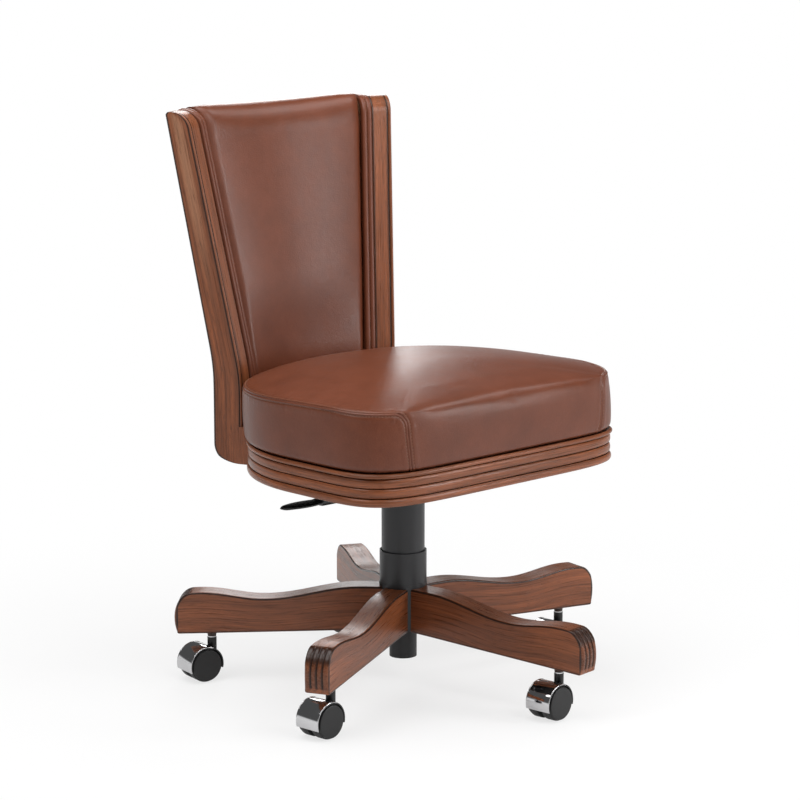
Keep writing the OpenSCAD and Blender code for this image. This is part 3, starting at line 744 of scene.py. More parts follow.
def swell_with_cloth(piece, held):
    """Fills a panel with air between its held lines: cloth, applied, with its movement capped."""
    rest = vertex_values(piece.data)
    group = piece.vertex_groups.new(name="held")
    for weight in (0, 1):
        group.add(np.nonzero(held == weight)[0].tolist(), weight, "REPLACE")
    cloth = piece.modifiers.new("fill", "CLOTH")
    for name, value in CLOTH.items():
        setattr(cloth.settings, name, value)
    cloth.settings.effector_weights.gravity = 0
    cloth.collision_settings.use_collision = False
    scene = bpy.context.scene
    for step in range(1, CLOTH_FRAMES + 1):
        scene.frame_set(step)
    swollen = piece.evaluated_get(bpy.context.evaluated_depsgraph_get())
    move = vertex_values(swollen.to_mesh()) - rest
    swollen.to_mesh_clear()
    piece.modifiers.remove(cloth)
    piece.vertex_groups.remove(group)
    scene.frame_set(1)
    size = np.linalg.norm(move, axis=1, keepdims=True)
    move *= np.tanh(size / CLOTH_CAP) * CLOTH_CAP / np.maximum(size, 1e-9)
    set_places(piece.data, rest + move)


def refine(piece, levels):
    """Applies a subdivision, so nothing is left on the piece."""
    modifier = piece.modifiers.new("smooth", "SUBSURF")
    modifier.levels = modifier.render_levels = levels
    graph = bpy.context.evaluated_depsgraph_get()
    mesh = bpy.data.meshes.new_from_object(piece.evaluated_get(graph))
    piece.modifiers.clear()
    old = piece.data
    piece.data = mesh
    bpy.data.meshes.remove(old)
    piece.data.shade_smooth()


def cushion_columns(count):
    """Places of the cushion's columns round its plan, closer together at the two front seams.

    Also gives the whole way round and a function from a place to its plan angle.
    """
    dense = np.linspace(-QUARTER, 1.5 * math.pi, 6001)
    run = run_along(outline(dense, CUSHION_SWELL, CUSHION_BACK_N, CUSHION_FRONT_N))
    seam = FRONT_SEAM_X + 10
    weight = 1 + 2.6 * (np.exp(-((run - seam) / 15) ** 2)
                        + np.exp(-((run - run[-1] + seam) / 15) ** 2))
    total = np.concatenate([[0], np.cumsum((weight[1:] + weight[:-1]) / 2 * np.diff(run))])
    places = np.interp(np.linspace(0, total[-1], count + 1), total, run)

    def angle_at(distance):
        return np.interp(distance, run, dense)

    return places, run[-1], angle_at


def middle_grid(wide, deep, places, angle_at):
    """Grid inside a ring of columns: plan angle and share of each point, and its quads.

    A negative number in a quad stands for a column of the ring, counted from -1 downwards.
    """
    count = 2 * (wide + deep)
    a, b = np.meshgrid(np.linspace(-1, 1, wide + 1), np.linspace(-1, 1, deep + 1), indexing="ij")
    m = np.maximum(np.maximum(abs(a), abs(b)), 1e-9)
    ea, eb = a / m, b / m
    # where the line from the middle through each point meets the ring, counted in columns
    q = np.select([eb <= -1 + 1e-9, ea >= 1 - 1e-9, eb >= 1 - 1e-9],
                  [ea * wide / 2 % count, wide / 2 + (eb + 1) / 2 * deep,
                   wide / 2 + deep + (1 - ea) / 2 * wide],
                  wide * 1.5 + deep + (1 - eb) / 2 * deep)
    inside = m < 1 - 1e-9
    ids = np.where(inside, np.cumsum(inside).reshape(m.shape) - 1,
                   -1 - np.round(q).astype(int) % count).tolist()
    quads = [(ids[i][j], ids[i + 1][j], ids[i + 1][j + 1], ids[i][j + 1])
             for i in range(wide) for j in range(deep)]
    angles = angle_at(np.interp(q[inside], np.arange(count + 1), places))
    return angles, np.where(m > 1e-6, m, 0.0)[inside], quads


def seam_relief(near, pucker):
    """How proud the leather stands at a distance from the seam: groove, welt and puckers."""
    return (-0.9 * np.exp(-(near / 0.75) ** 2) + 0.75 * np.exp(-((near - 2.1) / 1.2) ** 2)
            - 0.55 * np.exp(-((near - STITCH_OFFSET) / 0.9) ** 2)
            + 0.45 * np.exp(-((near - 9.0) / 4.0) ** 2) * (0.8 + pucker))


class CHAIR_OT_cushion(bpy.types.Operator):
    """The leather seat cushion with its sewn seam and twin stitching"""
    bl_idname = "chair.cushion"
    bl_label = "Seat cushion"

    def execute(self, context):
        columns = 2 * (GRID_WIDE + GRID_DEEP)
        places, length, angle_at = cushion_columns(columns)
        angles = angle_at(places[:-1])
        rows = [raised(outline(angles, UNDER_OUT, CUSHION_BACK_N), UNDER_Z)]
        rows += [side_point(angles, h) for h in SIDE_HEIGHTS]
        rows += [top_point(angles, t, 1) for t in SHOULDER_TURNS]
        front = smooth((FRONT_ROUND_TO - from_front(angles)) / 12)
        rows = round_over(rows, len(SIDE_HEIGHTS), FRONT_ROUND, front)
        faces = grid_faces(len(rows), columns)
        around, share, quads = middle_grid(GRID_WIDE, GRID_DEEP, places, angle_at)
        top = top_point(around, QUARTER, share)
        middle = np.array([0, -RAIL_AHEAD])
        under = middle + (outline(around, UNDER_OUT, CUSHION_BACK_N) - middle) * share[:, None]
        start = len(rows) * columns
        ring = start - columns
        for quad in quads:
            faces.append(tuple(start + n if n >= 0 else ring - 1 - n for n in quad))
            faces.append(tuple(start + len(top) + n if n >= 0 else -1 - n for n in quad[::-1]))
        piece = make_piece("seat_cushion", np.concatenate(rows + [top, raised(under, UNDER_Z)]),
                           faces, "leather_seat", "seat", ["seat_cover", "seat_foam"], "leather")
        seam = laid_on(piece.data, seam_path(0.0, angle_at, length))[0]
        at = vertex_values(piece.data) / MM
        near = nearest(at, seam)[0]
        swell_with_cloth(piece, (near < HELD_BY_SEAM) | (at[:, 2] < RAIL_TOP + HELD_BY_RAIL))
        refine(piece, 2)
        at = vertex_values(piece.data) / MM
        near, index = nearest(at, laid_on(piece.data, seam)[0])
        pucker = np.array([noise.noise(Vector((r / 6.5, 0.0, 0.0)))
                           + 0.6 * noise.noise(Vector((r / 17.0, 5.0, 0.0)))
                           for r in run_along(seam)])
        proud = seam_relief(near, pucker[index])
        set_places(piece.data, (at + vertex_values(piece.data, "normal") * proud[:, None]) * MM)
        parts = []
        for offset in (-STITCH_OFFSET, STITCH_OFFSET):
            row, facing = laid_on(piece.data, seam_path(offset, angle_at, length))
            keep = row[:, 2] > RAIL_TOP + 4
            parts.append(stitches(row[keep], facing[keep], *SEAT_STITCH))
        make_piece("seat_stitching", *joined(parts), "thread", "seat", (), "leather")
        return {"FINISHED"}


# Backrest


def post_xy(u, v):
    return np.stack([u * math.cos(TOE_IN) + v * math.sin(TOE_IN),
                     v * math.cos(TOE_IN) - u * math.sin(TOE_IN)], -1)


def bend(d):
    """A slope of one that starts from level by a smooth bend."""
    d = np.asarray(d, float)
    return np.where(d < -BEND_HALF, 0,
                    np.where(d > BEND_HALF, d, (d + BEND_HALF) ** 2 / (4 * BEND_HALF)))


def u_out(z):
    return POST_U + SPLAY * bend(z - SEAT_MID + 27)


def v_front(z):
    return FRONT_V + LEAN * bend(z - SEAT_MID + 11)


def v_back(z):
    return BACK_V + BACK_LEAN * bend(z - SEAT_MID - 3)


def recess(past, r):
    """How far an edge rounded by r sets a face back, past millimetres beyond the round's start."""
    past = np.clip(past, 0, r)
    return r - np.sqrt(np.maximum(0, r ** 2 - past ** 2))


def post_section(z, inset=0.0):
    """Section of the left post at a height: (u, v, glaze) points round it, bead at outer front.

    The glaze value holds dark glaze with painted shade, and a painted sheen below 0.
    """
    u0 = float(u_out(z)) - POST_W + inset
    u1 = float(u_out(z)) - inset
    vf = float(v_front(z) + recess(z - POST_STRAIGHT, POST_TOP_R)) + inset
    vb = float(v_back(z) - recess(POST_FOOT + POST_FOOT_R - z, POST_FOOT_R)) - inset
    vb -= 3.2 * smooth((z - POST_TOP + 4) / 4)
    points = []

    def face(a, b, steps, spread, share=0.75, wide=0.0, painted_sheen=0.0):
        """Straight face, darkened at its ends by glaze and painted shade.

        Its middle can be laid paler with a painted sheen.
        """
        a, b = np.array(a), np.array(b)
        size = np.linalg.norm(b - a)
        ends = np.array([0, 0.4, 0.9, 1.6]) / size
        for t in np.concatenate([ends, np.linspace(3 / size, 1 - 3 / size, steps),
                                 1 - ends[::-1]]):
            end = min(t, 1 - t) * size
            line = share * np.exp(-(end / spread) ** 1.5) + wide * np.exp(-end / 6.0)
            line -= painted_sheen * (1 - np.exp(-(end / 7.0) ** 2))
            points.append((*(a + (b - a) * t), float(min(1.0, line))))

    def corner(cu, cv, r, start, glaze, steps=5):
        for t in np.radians(np.linspace(start, start + 90, steps + 2)[1:-1]):
            points.append((cu + r * math.cos(t), cv + r * math.sin(t), glaze))

    # inner side, front with its groove and bead, outer side, back
    # the third values darken the groove, the bead's foot and the edges: glaze and painted shade
    face((u0, vb - 3), (u0, vf + 2), 8, 1.2)
    corner(u0 + 2, vf + 2, 2, 180, 0.6)
    face((u0 + 2, vf), (u1 - 6.6, vf), 10, 0.7, 0.5, 0.45)
    for du, dv, dark in ((-6.3, 0.4, 0.7), (-5.9, 1.0, 0.9), (-5.4, 1.1, 0.9), (-5.0, 0.8, 0.6)):
        points.append((u1 + du, vf + dv, dark))
    for t in np.linspace(0, math.pi, 11):
        points.append((u1 - BEAD_IN - BEAD_R * math.cos(t), vf + 0.7 - BEAD_PROUD * math.sin(t),
                       0.35 * (1 - math.sin(t)) ** 2))
    points += [(u1 - 0.35, vf + 1.3, 0.8), (u1 - 0.6, vf + 1.8, 0.9)]
    # painted sheen on the outer side face, growing towards the top
    face((u1, vf + 2.5), (u1, vb - 3), 16, 0.8, 0.45, 0.35,
         0.1 + 0.65 * float(smooth((z - 500) / 240)))
    corner(u1 - 3, vb - 3, 3, 0, 0.8)
    face((u1 - 3, vb), (u0 + 3, vb), 8, 1.2)
    corner(u0 + 3, vb - 3, 3, 90, 0.8)
    return np.array(points)


def rail_v(u):
    """Where the outside of the rail crosses the line of a post at u, in the post's axes."""
    steps = np.arange(165.0, 240.0, 0.25)
    x, y = post_xy(np.full(len(steps), u), steps).T
    level = (np.abs(x / RAIL_HALF_W) ** RAIL_BACK_N
             + np.abs((y + RAIL_AHEAD) / RAIL_BACK) ** RAIL_BACK_N)
    return float(np.interp(1.0, level, steps))


class CHAIR_OT_posts(bpy.types.Operator):
    """The two wooden back posts with their front bead"""
    bl_idname = "chair.posts"
    bl_label = "Back posts"

    def execute(self, context):
        arc = np.linspace(0, QUARTER, 12)
        levels = list(POST_FOOT + 0.8 * (1 - np.cos(np.linspace(0, QUARTER, 4))))
        levels += list(POST_FOOT + POST_FOOT_R * (1 - np.cos(arc))[1:])
        levels.sort()
        levels += list(np.linspace(levels[-1] + 2, RAIL_TOP, 6))
        levels += list(np.linspace(RAIL_TOP + 0.3, POST_STRAIGHT, 70))
        levels += list(POST_STRAIGHT + (POST_TOP_R - 0.01) * np.sin(arc)[1:])
        insets = [0.9, 0.3, 0.05, 0.0] + [0.0] * (len(levels) - 6) + [0.25, 0.9]
        places = np.linspace(40, 80, 41)
        rail_at = [rail_v(u) for u in places]
        for side, name in ((1, "left"), (-1, "right")):
            rings, grain, glaze = [], [], []
            for z, inset in zip(levels, insets):
                u, v, dark = post_section(z, inset).T
                v = v.copy()
                if z <= RAIL_TOP:
                    # below the rail's top the front is cut to the rail
                    v += (np.interp(u, places, rail_at) + 0.3 - FRONT_V) * np.clip(
                        (260 - v) / 35, 0, 1)
                rings.append(raised(post_xy(u, v), z, side))
                grain.append(table(z + 900 * side, u - u_out(z), v - v_front(z)))
                glaze.append(dark)
            make_wooden(f"post_{name}", *tube(rings), "seat", f"back_post_{name}", 40, grain,
                        glaze)
        return {"FINISHED"}


def back_point(s, z, d, inset):
    """Point of the back: s across from -1 to 1, height z, depth d behind the posts' fronts."""
    edge_x, edge_y = post_xy(u_out(z) - POST_W, v_front(z) + d).T
    x = s * (edge_x - inset * math.cos(TOE_IN))
    return table(x, edge_y + BACK_SAG * edge_x * (1 - (x / edge_x) ** 2), z)


def pad_front(s, z):
    """Depth of the pad's front: it crowns in the middle and tucks in at the sides."""
    side = np.abs(s)
    crown = PAD_CROWN * smooth((z - CROWN_Z + 40) / 145) * (1 - side ** 3.4)
    tuck = 9.0 * np.clip((side - 0.9) / 0.1, 0, 1) ** 2.2
    return 0.5 + tuck - crown


class CHAIR_OT_back_pad(bpy.types.Operator):
    """The leather pad of the back, rolled over the top"""
    bl_idname = "chair.back_pad"
    bl_label = "Back pad"

    def execute(self, context):
        widest = QUARTER * 0.86  # columns stand closer together towards the sides
        across = np.sin(np.linspace(-1, 1, 61) * widest) / math.sin(widest)
        across = np.concatenate([[-1.0], across, [1.0]])
        gutter = np.zeros(len(across))
        gutter[[0, -1]] = PAD_EDGE_DEPTH
        inset = WELT_W + 1
        start = PAD_Z1 - PAD_ROLL
        rows = [back_point(across, z, pad_front(across, z) + gutter, inset)
                for z in np.linspace(PAD_Z0, start, 110)]
        front = pad_front(across, start) + gutter
        rear = v_back(start) - v_front(start) - REAR_GAP
        # the roll over the top: low in the middle, with corners that fall away
        peak = PAD_ROLL + 1.0 - 5.0 * (1 - across ** 2) - 3.5 * np.abs(across) ** 9
        square = 0.9 - 0.52 * np.abs(across) ** 5
        for t in np.linspace(0, math.pi, 41)[1:]:
            rise = peak * abs(math.sin(t)) ** (square if t < QUARTER else 0.12)
            over = (1 - math.cos(t)) / 2
            d = front + (rear - front) * over - rise * (LEAN - 0.1) * (1 - over)
            rows.append(back_point(across, start, d, inset) + table(0.0, rise * LEAN, rise))
        rows += [back_point(across, z, PAD_T - 2.6, inset)
                 for z in np.linspace(start, PAD_Z0, 30)[1:]]
        piece = make_piece("back_pad", *slab(rows), "leather_back", "seat",
                           ["back_cover", "back_foam", "back_top_roll"], "leather", 60)
        return {"FINISHED"}


class CHAIR_OT_welts(bpy.types.Operator):
    """The double leather welts beside the posts, stitched down the middle"""
    bl_idname = "chair.welts"
    bl_label = "Double welts"

    def execute(self, context):
        half = 11
        across, proud = np.array([(middle - 0.235 * math.cos(t), WELT_H * math.sin(t) ** 0.8)
                                  for middle in (-0.25, 0.25)
                                  for t in np.linspace(0, math.pi, half)]).T
        # height, depth and turn of each ring: up the post, over its rounded top, then level
        top_v = float(v_front(POST_STRAIGHT))
        stations = [(z, float(v_front(z)), 0.0) for z in np.linspace(PAD_Z0, POST_STRAIGHT, 80)]
        for t in np.linspace(0, QUARTER, 12)[1:]:
            rise = POST_TOP_R * math.sin(t)
            stations.append((POST_STRAIGHT + rise,
                             top_v + POST_TOP_R * (1 - math.cos(t)) + LEAN * rise, t))
        stations += [(POST_TOP, v, QUARTER)
                     for v in np.linspace(stations[-1][1] + 2, float(v_back(POST_TOP)) - 5, 5)]
        for side, name in ((1, "left"), (-1, "right")):
            rings, path, facing = [], [], []
            for z, v, turn in stations:
                c, s = math.cos(turn), math.sin(turn)
                u = float(u_out(min(z, POST_TOP))) - POST_W - WELT_W / 2 - 0.1 + across * WELT_W
                over = smooth(turn / 1.2)
                lift = proud * (1 - 0.8 * over) + 1.5 * (0.5 - across) * over
                outer = raised(post_xy(u, v - proud * c), z + lift * s, side)
                inner = raised(post_xy(u, v + WELT_BACK * c), z - WELT_BACK * s, side)
                rings.append(np.concatenate([outer, inner[::-1]]))
                x, y = post_xy(u[half - 1:half + 1].mean(), v - 0.6 * c)
                path.append((x * side, y, z + 0.6 * s))
                x, y = post_xy(0.0, -c)
                facing.append((x * side, y, s))
            make_piece(f"double_welt_{name}", *tube(rings), "leather_back", "seat",
                       [f"welt_{name}"], "leather", 75)
            make_piece(f"welt_stitching_{name}", *stitches(path, facing, *WELT_STITCH),
                       "thread", "seat", (), "leather")
        return {"FINISHED"}


class CHAIR_OT_rear(bpy.types.Operator):
    """The outside of the back: a taut leather panel with a cord at each edge"""
    bl_idname = "chair.rear"
    bl_label = "Rear panel"

    def execute(self, context):
        low, high = node_heights("rear_panel")
        across = np.linspace(-1, 1, 49)
        outer, inner = [], []
        for z in np.linspace(low, high, 60):
            depth = v_back(z) - v_front(z)
            puff = REAR_PUFF * smooth(min(z - low, high - z) / 14) * smooth(
                (1 - np.abs(across)) / 0.06)
            outer.append(back_point(across, z, depth - REAR_OUTSIDE + puff, REAR_INSET))
            inner.append(back_point(across, z, depth - REAR_INSIDE, REAR_INSET))
        make_piece("rear_leather", *slab(outer + inner[::-1]), "leather_back", "seat",
                   ["rear_panel"], "leather", 50)
        around = table(*circle(10), 0.0) * PIPING_R
        cords = [tube([back_point(np.array([side]), z, v_back(z) - v_front(z) - 1.4, 2.6) + around
                       for z in np.linspace(low + 1, high - 1, 70)]) for side in (-1.0, 1.0)]
        make_piece("rear_piping", *joined(cords), "leather_back", "seat", (), "leather")
        return {"FINISHED"}


# Base


def arm_upper(r):
    """Height of an arm's top line: level, then a dip, then a swell."""
    down = (1 - np.cos((r - ARM_DIP_FROM) * math.pi / (ARM_DIP_TO - ARM_DIP_FROM))) / 2
    up = (1 - np.cos((r - ARM_DIP_TO) * math.pi / ARM_SWELL_RUN)) / 2
    return ARM_TOP - np.where(r < ARM_DIP_FROM, 0, np.where(
        r < ARM_DIP_TO, ARM_DIP * down, ARM_DIP - ARM_SWELL * up))


def arm_lower(r):
    return ARM_Z - ARM_BELOW + ARM_RISE * (1 - r / ARM_REACH)


def arm_chains():
    """Matching points along the top and the underside of an arm, from the hub to the tip."""
    knee = ARM_REACH - TIP_A
    tip_z = float(arm_upper(np.array(knee))) - TIP_B
    top = [(r, float(arm_upper(np.array(r)))) for r in np.linspace(ARM_ROOT, knee - 3, 62)]
    top += [(knee + TIP_A * math.sin(t), tip_z + TIP_B * math.cos(t))
            for t in np.linspace(0.03, QUARTER, 26)]
    end = float(arm_lower(ARM_REACH))
    fall = tip_z - end - 4.5
    top += [(ARM_REACH - 3.2 * f ** 2.2, tip_z - fall * f) for f in np.linspace(0.12, 1, 9)]
    bottom = [(r, float(arm_lower(r))) for r in np.linspace(ARM_ROOT, ARM_REACH - 9,
                                                            len(top) - 3)]
    bottom += [(ARM_REACH - 6.4, end + 0.3), (ARM_REACH - 4.6, end + 1.1),
               (ARM_REACH - 3.6, end + 2.8)]
    return np.array(top), np.array(bottom)


def arm_stations():
    """Places across an arm, closer together in its rounded corners."""
    half = ARM_W / 2
    places = np.concatenate([
        half - ARM_PLAN_R + ARM_PLAN_R * np.sin(np.linspace(QUARTER, 0, 14)),
        np.linspace(half - ARM_PLAN_R, 0.0, 30)[1:]])
    return np.concatenate([places, -places[-2::-1]])


def arm_lines(top, bottom, stations):
    """Upper and lower line of an arm at each station, each with its glaze and painted shade."""
    half = ARM_W / 2
    tangent = np.gradient(top, axis=0)
    tangent /= np.linalg.norm(tangent, axis=1, keepdims=True)
    inward = np.column_stack([tangent[:, 1], -tangent[:, 0]])
    fluted = smooth((top[:, 0] - (ARM_REACH - 22)) / 3) * smooth((top[:, 1] - ARM_Z - 3) / 4)
    tip_shade = 0.75 * smooth((top[:, 0] - (ARM_REACH - 34)) / 16) * smooth(
        (top[:, 1] - 100) / 18)
    lines = []
    for y in stations:
        ease = float(recess(abs(y) - half + ARM_EDGE_R, ARM_EDGE_R))
        groove = sum(math.exp(-((y - c * ARM_W) / FLUTE_W) ** 2) for c in FLUTES)
        upper = top + inward * (ease + FLUTE_DEPTH * groove * fluted)[:, None]
        lower = bottom + np.array([0.0, ease])
        slim = 1 - recess(abs(y) - half + ARM_PLAN_R, ARM_PLAN_R) / ARM_PLAN_R
        for chain in (upper, lower):
            past = chain[:, 0] > ARM_REACH - ARM_PLAN_R
            chain[past, 0] = (ARM_REACH - ARM_PLAN_R
                              + (chain[past, 0] - ARM_REACH + ARM_PLAN_R) * slim)
        shade = 0.9 * math.exp(-((half - abs(y)) / 1.3) ** 1.5)
        # painted shade: the fluted end darker all over and darker still in its grooves
        end_and_flute_shade = (0.42 + 0.45 * np.clip(groove, 0, 1)) * fluted
        lines.append((upper, lower, np.maximum(np.maximum(shade, tip_shade), end_and_flute_shade),
                      np.full(len(top), shade * 0.7)))
    return lines


def arm_shape():
    """An arm that points along +X: points, grain, glaze with painted shade, and faces."""
    top, bottom = arm_chains()
    count = len(top)
    stations = arm_stations()
    lines = arm_lines(top, bottom, stations)
    points, grain, glaze = [], [], []

    def put(line, y, dark):
        """Adds a line at y, fitted round the hub, and gives the numbers of its points."""
        start = math.sqrt(max(0.0, HUB_R ** 2 - y * y))
        along, z = line.T
        r = along + (start - ARM_ROOT) * np.clip(1 - (along - ARM_ROOT) / 30, 0, 1)
        points.append(table(r, y, z))
        grain.append(table(r, y, z - arm_upper(along) * 0.6))
        glaze.append(dark)
        return range((len(points) - 1) * count, len(points) * count)

    rows = [put(upper, y, dark) for y, (upper, _, dark, _) in zip(stations, lines)]
    rows += [put(lower, y, dark) for y, (_, lower, _, dark) in zip(stations[::-1], lines[::-1])]
    n = len(stations)
    faces = [f for f in grid_faces(2 * n, count, wrap_cols=False) if f[0] // count != n - 1]
    walls = []
    for side_row, low_row in ((0, 2 * n - 1), (n - 1, n)):
        upper, lower = lines[side_row][:2]
        size = np.linalg.norm(upper - lower, axis=1)
        ladder = [rows[side_row]]
        # the wall darkens towards its edges: glaze and painted shade
        for t in (0.012, 0.03, 0.07, 0.15, 0.3, 0.5, 0.7, 0.85, 0.93, 0.97, 0.988):
            near = np.minimum(t, 1 - t) * size
            ladder.append(put(upper * (1 - t) + lower * t, stations[side_row],
                              np.exp(-(near / 1.2) ** 1.5) * 0.9))
        ladder.append(rows[low_row])
        faces += [(a[j], a[j + 1], b[j + 1], b[j])
                  for a, b in zip(ladder, ladder[1:]) for j in range(count - 1)]
        walls.append(ladder[1:-1])
    # hub end and tip end
    for j in (0, count - 1):
        loop = rows[:n] + walls[1] + rows[n:] + walls[0][::-1]
        faces.append(tuple(row[j] for row in loop))
    return np.concatenate(points), np.concatenate(grain), glaze, faces


class CHAIR_OT_arms(bpy.types.Operator):
    """The five curved wooden arms of the base"""
    bl_idname = "chair.arms"
    bl_label = "Base arms"

    def execute(self, context):
        points, grain, glaze, faces = arm_shape()
        x, y, z = points.T
        for k in range(5):
            turn = ARM_TURN + k * math.tau / 5
            c, s = math.cos(turn), math.sin(turn)
            make_wooden(f"arm_{k + 1}", table(x * c - y * s, x * s + y * c, z), faces, "base",
                        f"base_arm_{k + 1}", 55, [grain + [700 * k, 0, 0]], glaze)
        return {"FINISHED"}


# Castors


def at_castor(k, points):
    """Points about a castor's stem, turned into the chair's frame."""
    turn = ARM_TURN + k * math.tau / 5
    c, s = math.cos(CASTOR_YAW[k]), math.sin(CASTOR_YAW[k])
    ahead, left, up = np.array([[c, s, 0.0], [-s, c, 0.0], [0.0, 0.0, 1.0]])
    middle = np.array([CASTOR_R * math.cos(turn), CASTOR_R * math.sin(turn), 0.0])
    return middle + points[:, :1] * ahead + points[:, 1:2] * left + points[:, 2:] * up


def hood_strip(r_out, r_in, width, round_r=0.5, shift=0.0):
    """A curved strip round the axle with eased edges, in the castor's own axes."""
    half = width / 2 - round_r
    section = []
    for across, r, first in ((half, r_out - round_r, 0), (-half, r_out - round_r, 90),
                             (-half, r_in + round_r, 180), (half, r_in + round_r, 270)):
        for t in np.radians(np.linspace(first, first + 90, 4)):
            section.append((across + round_r * math.cos(t), r + round_r * math.sin(t)))
    across, r = np.array(section).T
    return tube([table(-TRAIL + r * math.cos(angle), across + shift,
                       WHEEL_R + r * math.sin(angle))
                 for angle in np.linspace(HOOD_FROM, HOOD_TO, 48)])


class CHAIR_OT_castors(bpy.types.Operator):
    """Chrome hoods and wheels of the five castors"""
    bl_idname = "chair.castors"
    bl_label = "Castors"

    def execute(self, context):
        r, w = WHEEL_R, WHEEL_W
        wheel = [(3.2, 0.0), (r - 1.6, 0.0), (r - 0.5, 0.4), (r, 1.5), (r, w - 5.4),
                 (r - 0.3, w - 4.3), (r - 0.9, w - 3.6), (r - 1.5, w - 3.4), (r - 1.75, w - 3.3),
                 (r - 1.8, w - 1.1), (r - 2.0, w - 0.6), (r - 2.6, w - 0.25), (r - 3.6, w - 0.1),
                 (r - 9.0, w + 0.1), (0.5, w + 0.3)]
        lips = [hood_strip(r + 2.85, r + 1.2, 1.7, 0.7, shift) for shift in (-LIP_SHIFT, LIP_SHIFT)]
        hood, hood_faces = joined([hood_strip(r + 2.6, r + 1.4, HOOD_W)] + lips)
        points, faces = lathe(wheel)
        along, x, z = points.T
        wheels, wheel_faces = joined([
            (table(x - TRAIL, side * (WHEEL_GAP + along), z + r), faces)
            for side in (-1, 1)])
        for k in range(5):
            n = k + 1
            make_piece(f"hood_{n}", at_castor(k, hood), hood_faces, "chrome", f"castor_{n}",
                       [f"castor_hood_{n}"], "chrome", 50)
            make_piece(f"wheels_{n}_visual", at_castor(k, wheels), wheel_faces, "wheel_disc",
                       f"wheels_{n}", [f"castor_wheels_{n}"], "tread", 35)
        return {"FINISHED"}


# Lever


class CHAIR_OT_lever(bpy.types.Operator):
    """The leaf-shaped grip of the height lever"""
    bl_idname = "chair.lever"
    bl_label = "Lever grip"

    def execute(self, context):
        low, high = node_box("lever_paddle")
        tip, root = low[0], high[0]
        c, s = circle(28)
        rings = []
        for f in np.linspace(0, 1, 40):
            if f < GRIP_LEAF:
                leaf = math.sin(math.pi * min(1, f / GRIP_LEAF * 0.78 + 0.001))
                wide = GRIP_WIDE * max(0.02, leaf) ** 0.6
                thick = GRIP_THICK * max(0.08, min(1, f / 0.07)) ** 0.5
            else:
                g = smooth((f - GRIP_LEAF) / 0.1)
                wide = (GRIP_WIDE * math.sin(math.pi * 0.78) ** 0.6) * (1 - g) + GRIP_NECK * g
                thick = GRIP_THICK * (1 - g) + GRIP_NECK * g
            z = (low[2] + high[2]) / 2 + 1.5 * (1 - f)
            rings.append(table(tip + (root - tip) * f, wide * np.sign(c) * np.abs(c) ** 0.8,
                               z + thick * np.sign(s) * np.abs(s) ** 0.8))
        make_piece("lever_grip", *tube(rings), "black_plastic", "lever", ["lever_paddle"],
                   "black_plastic", 45)
        return {"FINISHED"}


# CAD nodes that keep their shape

CASTOR_FRAMES = [f"castor_frame_{k}" for k in range(1, 6)]
NODE_FINISH = {
    "black_paint": ["centre_hub", "column_tube", "gas_cylinder", "mechanism_housing",
                    "mechanism_plate"],
    "charcoal_sleeve": ["lower_sleeve", "middle_sleeve", "upper_sleeve"],
    "white_plastic": ["guide_bush"],
    "brown_plastic": ["castor_sockets"],
    "chrome": ["castor_stems", "piston_rod"],
    "zinc_steel": ["thrust_washer_lower", "thrust_washer_upper", "arm_bolts", "rod_clip",
                   "mechanism_screws", "lever_pivot_pin", "lever_rod", "valve_pin", "post_bolts"],
    "plywood": ["seat_cleats", "seat_board", "back_bottom_rail", "back_top_rail", "back_board"],
    "lining": ["dust_cover"],
    "black_plastic": CASTOR_FRAMES,
}


class CHAIR_OT_hardware(bpy.types.Operator):
    """Finishes for the CAD pieces that stay as they are"""
    bl_idname = "chair.hardware"
    bl_label = "Hardware finishes"

    def execute(self, context):
        for name, nodes in NODE_FINISH.items():
            for node in nodes:
                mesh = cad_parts[node].data
                mesh.materials.clear()
                mesh.materials.append(finish(name))
        for node in ["mechanism_housing", "mechanism_plate"] + CASTOR_FRAMES:
            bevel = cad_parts[node].modifiers.new("eased edges", "BEVEL")
            bevel.width = 0.0006
            bevel.segments = 2
            bevel.limit_method = "ANGLE"
            bevel.angle_limit = math.radians(40)
        return {"FINISHED"}


# Stage


def make_floor():
    """A wide pale floor that the camera sees as nearly white and mirrors see dimmer."""
    mesh = bpy.data.meshes.new("floor")
    mesh.from_pydata([(x * FLOOR_HALF, y * FLOOR_HALF, 0)
                      for x, y in ((-1, -1), (1, -1), (1, 1), (-1, 1))], [], [(0, 1, 2, 3)])
    floor = bpy.data.objects.new("floor", mesh)
    bpy.context.collection.objects.link(floor)
    paint = Shader(bpy.data.materials.new("floor_paint"), Base_Color=(0.9, 0.9, 0.9),
                   Roughness=0.9, Specular_IOR_Level=0.1)
    away = paint.node("ShaderNodeVectorMath", {"operation": "LENGTH"}, {0: paint.place()}, "Value")
    white = paint.node("ShaderNodeEmission", {}, {"Color": (1.0, 1.0, 1.0)}, "Emission")
    seen = paint.ray_is("Is Camera Ray") * (0.72 + 0.28 * paint.step(away, 0.3, 1.1))
    mirrored = paint.ray_is("Is Glossy Ray", "Is Transmission Ray") * (
        0.25 + 0.6 * paint.step(away, 1.0, 4.0))
    matt = Signal(paint, paint.surface.outputs[0])
    both = paint.node("ShaderNodeMixShader", {}, {0: seen + mirrored, 1: matt, 2: white},
                      "Shader")
    paint.give(paint.tree.nodes["Material Output"].inputs["Surface"], both)
    mesh.materials.append(paint.owner)


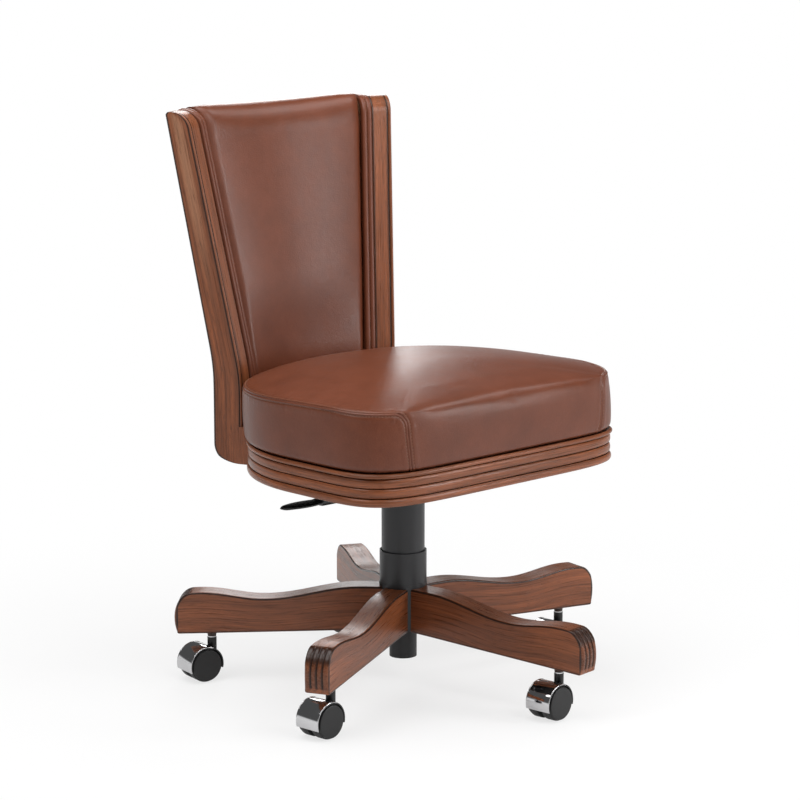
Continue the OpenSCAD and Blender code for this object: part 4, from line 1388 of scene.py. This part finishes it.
def make_world():
    """White to the camera. Mirrors see a white wall round the chair and a dimmer ceiling."""
    sky = Shader(bpy.data.worlds.new("studio"), "Background", Color=(1, 1, 1))
    height = sky.node("ShaderNodeSeparateXYZ", {}, {0: sky.place("Generated")}, "Z")
    ceiling = sky.node("ShaderNodeMapRange", {}, {
        "Value": height, "From Min": WALL_TOP[0], "From Max": WALL_TOP[1],
        "To Min": 1.0, "To Max": CEILING}, "Result")
    strength = sky.node("ShaderNodeMapRange", {}, {
        "Value": sky.ray_is("Is Glossy Ray", "Is Transmission Ray"),
        "To Min": FILL, "To Max": ceiling}, "Result")
    bpy.context.scene.world = sky.finish(
        Strength=sky.math("MAXIMUM", strength, sky.ray_is("Is Camera Ray")))


def make_lamps():
    ahead = Vector((CAMERA_BACK.x, CAMERA_BACK.y, 0)).normalized()
    for name, forward, side, up, width, height, power in SOFTBOXES:
        light = bpy.data.lights.new(name, "AREA")
        light.shape = "RECTANGLE"
        light.size = width
        light.size_y = height
        light.energy = power
        lamp = bpy.data.objects.new(name, light)
        lamp.location = forward * ahead + side * CAMERA_RIGHT + Vector((0, 0, up))
        lamp.visible_camera = False
        lamp.rotation_euler = (LAMPS_FACE - lamp.location).to_track_quat("-Z", "Y").to_euler()
        bpy.context.collection.objects.link(lamp)


class CHAIR_OT_stage(bpy.types.Operator):
    """Pale floor, soft light and the camera"""
    bl_idname = "chair.stage"
    bl_label = "Stage"

    def execute(self, context):
        scene = context.scene
        scene.view_settings.view_transform = "Standard"
        make_floor()
        make_world()
        make_lamps()
        eye = bpy.data.cameras.new("photo_view")
        eye.lens = LENS
        eye.sensor_width = 36.0
        camera = bpy.data.objects.new("photo_view", eye)
        up = CAMERA_BACK.cross(CAMERA_RIGHT)
        turn = Matrix((CAMERA_RIGHT, up, CAMERA_BACK)).transposed().to_4x4()
        camera.matrix_world = Matrix.Translation(CAMERA_AT) @ turn
        context.collection.objects.link(camera)
        scene.camera = camera
        return {"FINISHED"}


# Settings, panel and running


def colour_setting(name, description, default):
    return bpy.props.FloatVectorProperty(name=name, description=description, subtype="COLOR",
                                         size=3, min=0.0, max=1.0, default=default)


class ChairColours(bpy.types.PropertyGroup):
    leather: colour_setting("Leather", "Colour of the leather", (0.138, 0.038, 0.017))
    wood: colour_setting("Wood", "Colour of the stained wood between its streaks",
                         (0.24, 0.074, 0.028))
    thread: colour_setting("Thread", "Colour of the stitching", (0.33, 0.16, 0.1))
    column: colour_setting("Column", "Colour of the column's sleeves", (0.024, 0.024, 0.026))


OPERATORS = [CHAIR_OT_stage, CHAIR_OT_rail, CHAIR_OT_cushion, CHAIR_OT_posts, CHAIR_OT_back_pad,
             CHAIR_OT_welts, CHAIR_OT_rear, CHAIR_OT_arms, CHAIR_OT_castors, CHAIR_OT_lever,
             CHAIR_OT_hardware]


class CHAIR_PT_panel(bpy.types.Panel):
    """Lists the chair's colours and the operators that make its pieces"""
    bl_idname = "CHAIR_PT_panel"
    bl_label = "Games-table chair"
    bl_space_type = "VIEW_3D"
    bl_region_type = "UI"
    bl_category = "Chair"

    def draw(self, context):
        column = self.layout.column()
        colours = context.scene.chair_colours
        for name in ("leather", "wood", "thread", "column"):
            column.prop(colours, name)
        for operator in OPERATORS:
            column.operator(operator.bl_idname)


def register():
    for cls in [ChairColours] + OPERATORS + [CHAIR_PT_panel]:
        bpy.utils.register_class(cls)
    bpy.types.Scene.chair_colours = bpy.props.PointerProperty(type=ChairColours)


def unregister():
    del bpy.types.Scene.chair_colours
    for cls in reversed([ChairColours] + OPERATORS + [CHAIR_PT_panel]):
        bpy.utils.unregister_class(cls)


def main():
    register()
    for operator in OPERATORS:
        getattr(bpy.ops.chair, operator.bl_idname.split(".")[1])()


if __name__ == "__main__":
    main()
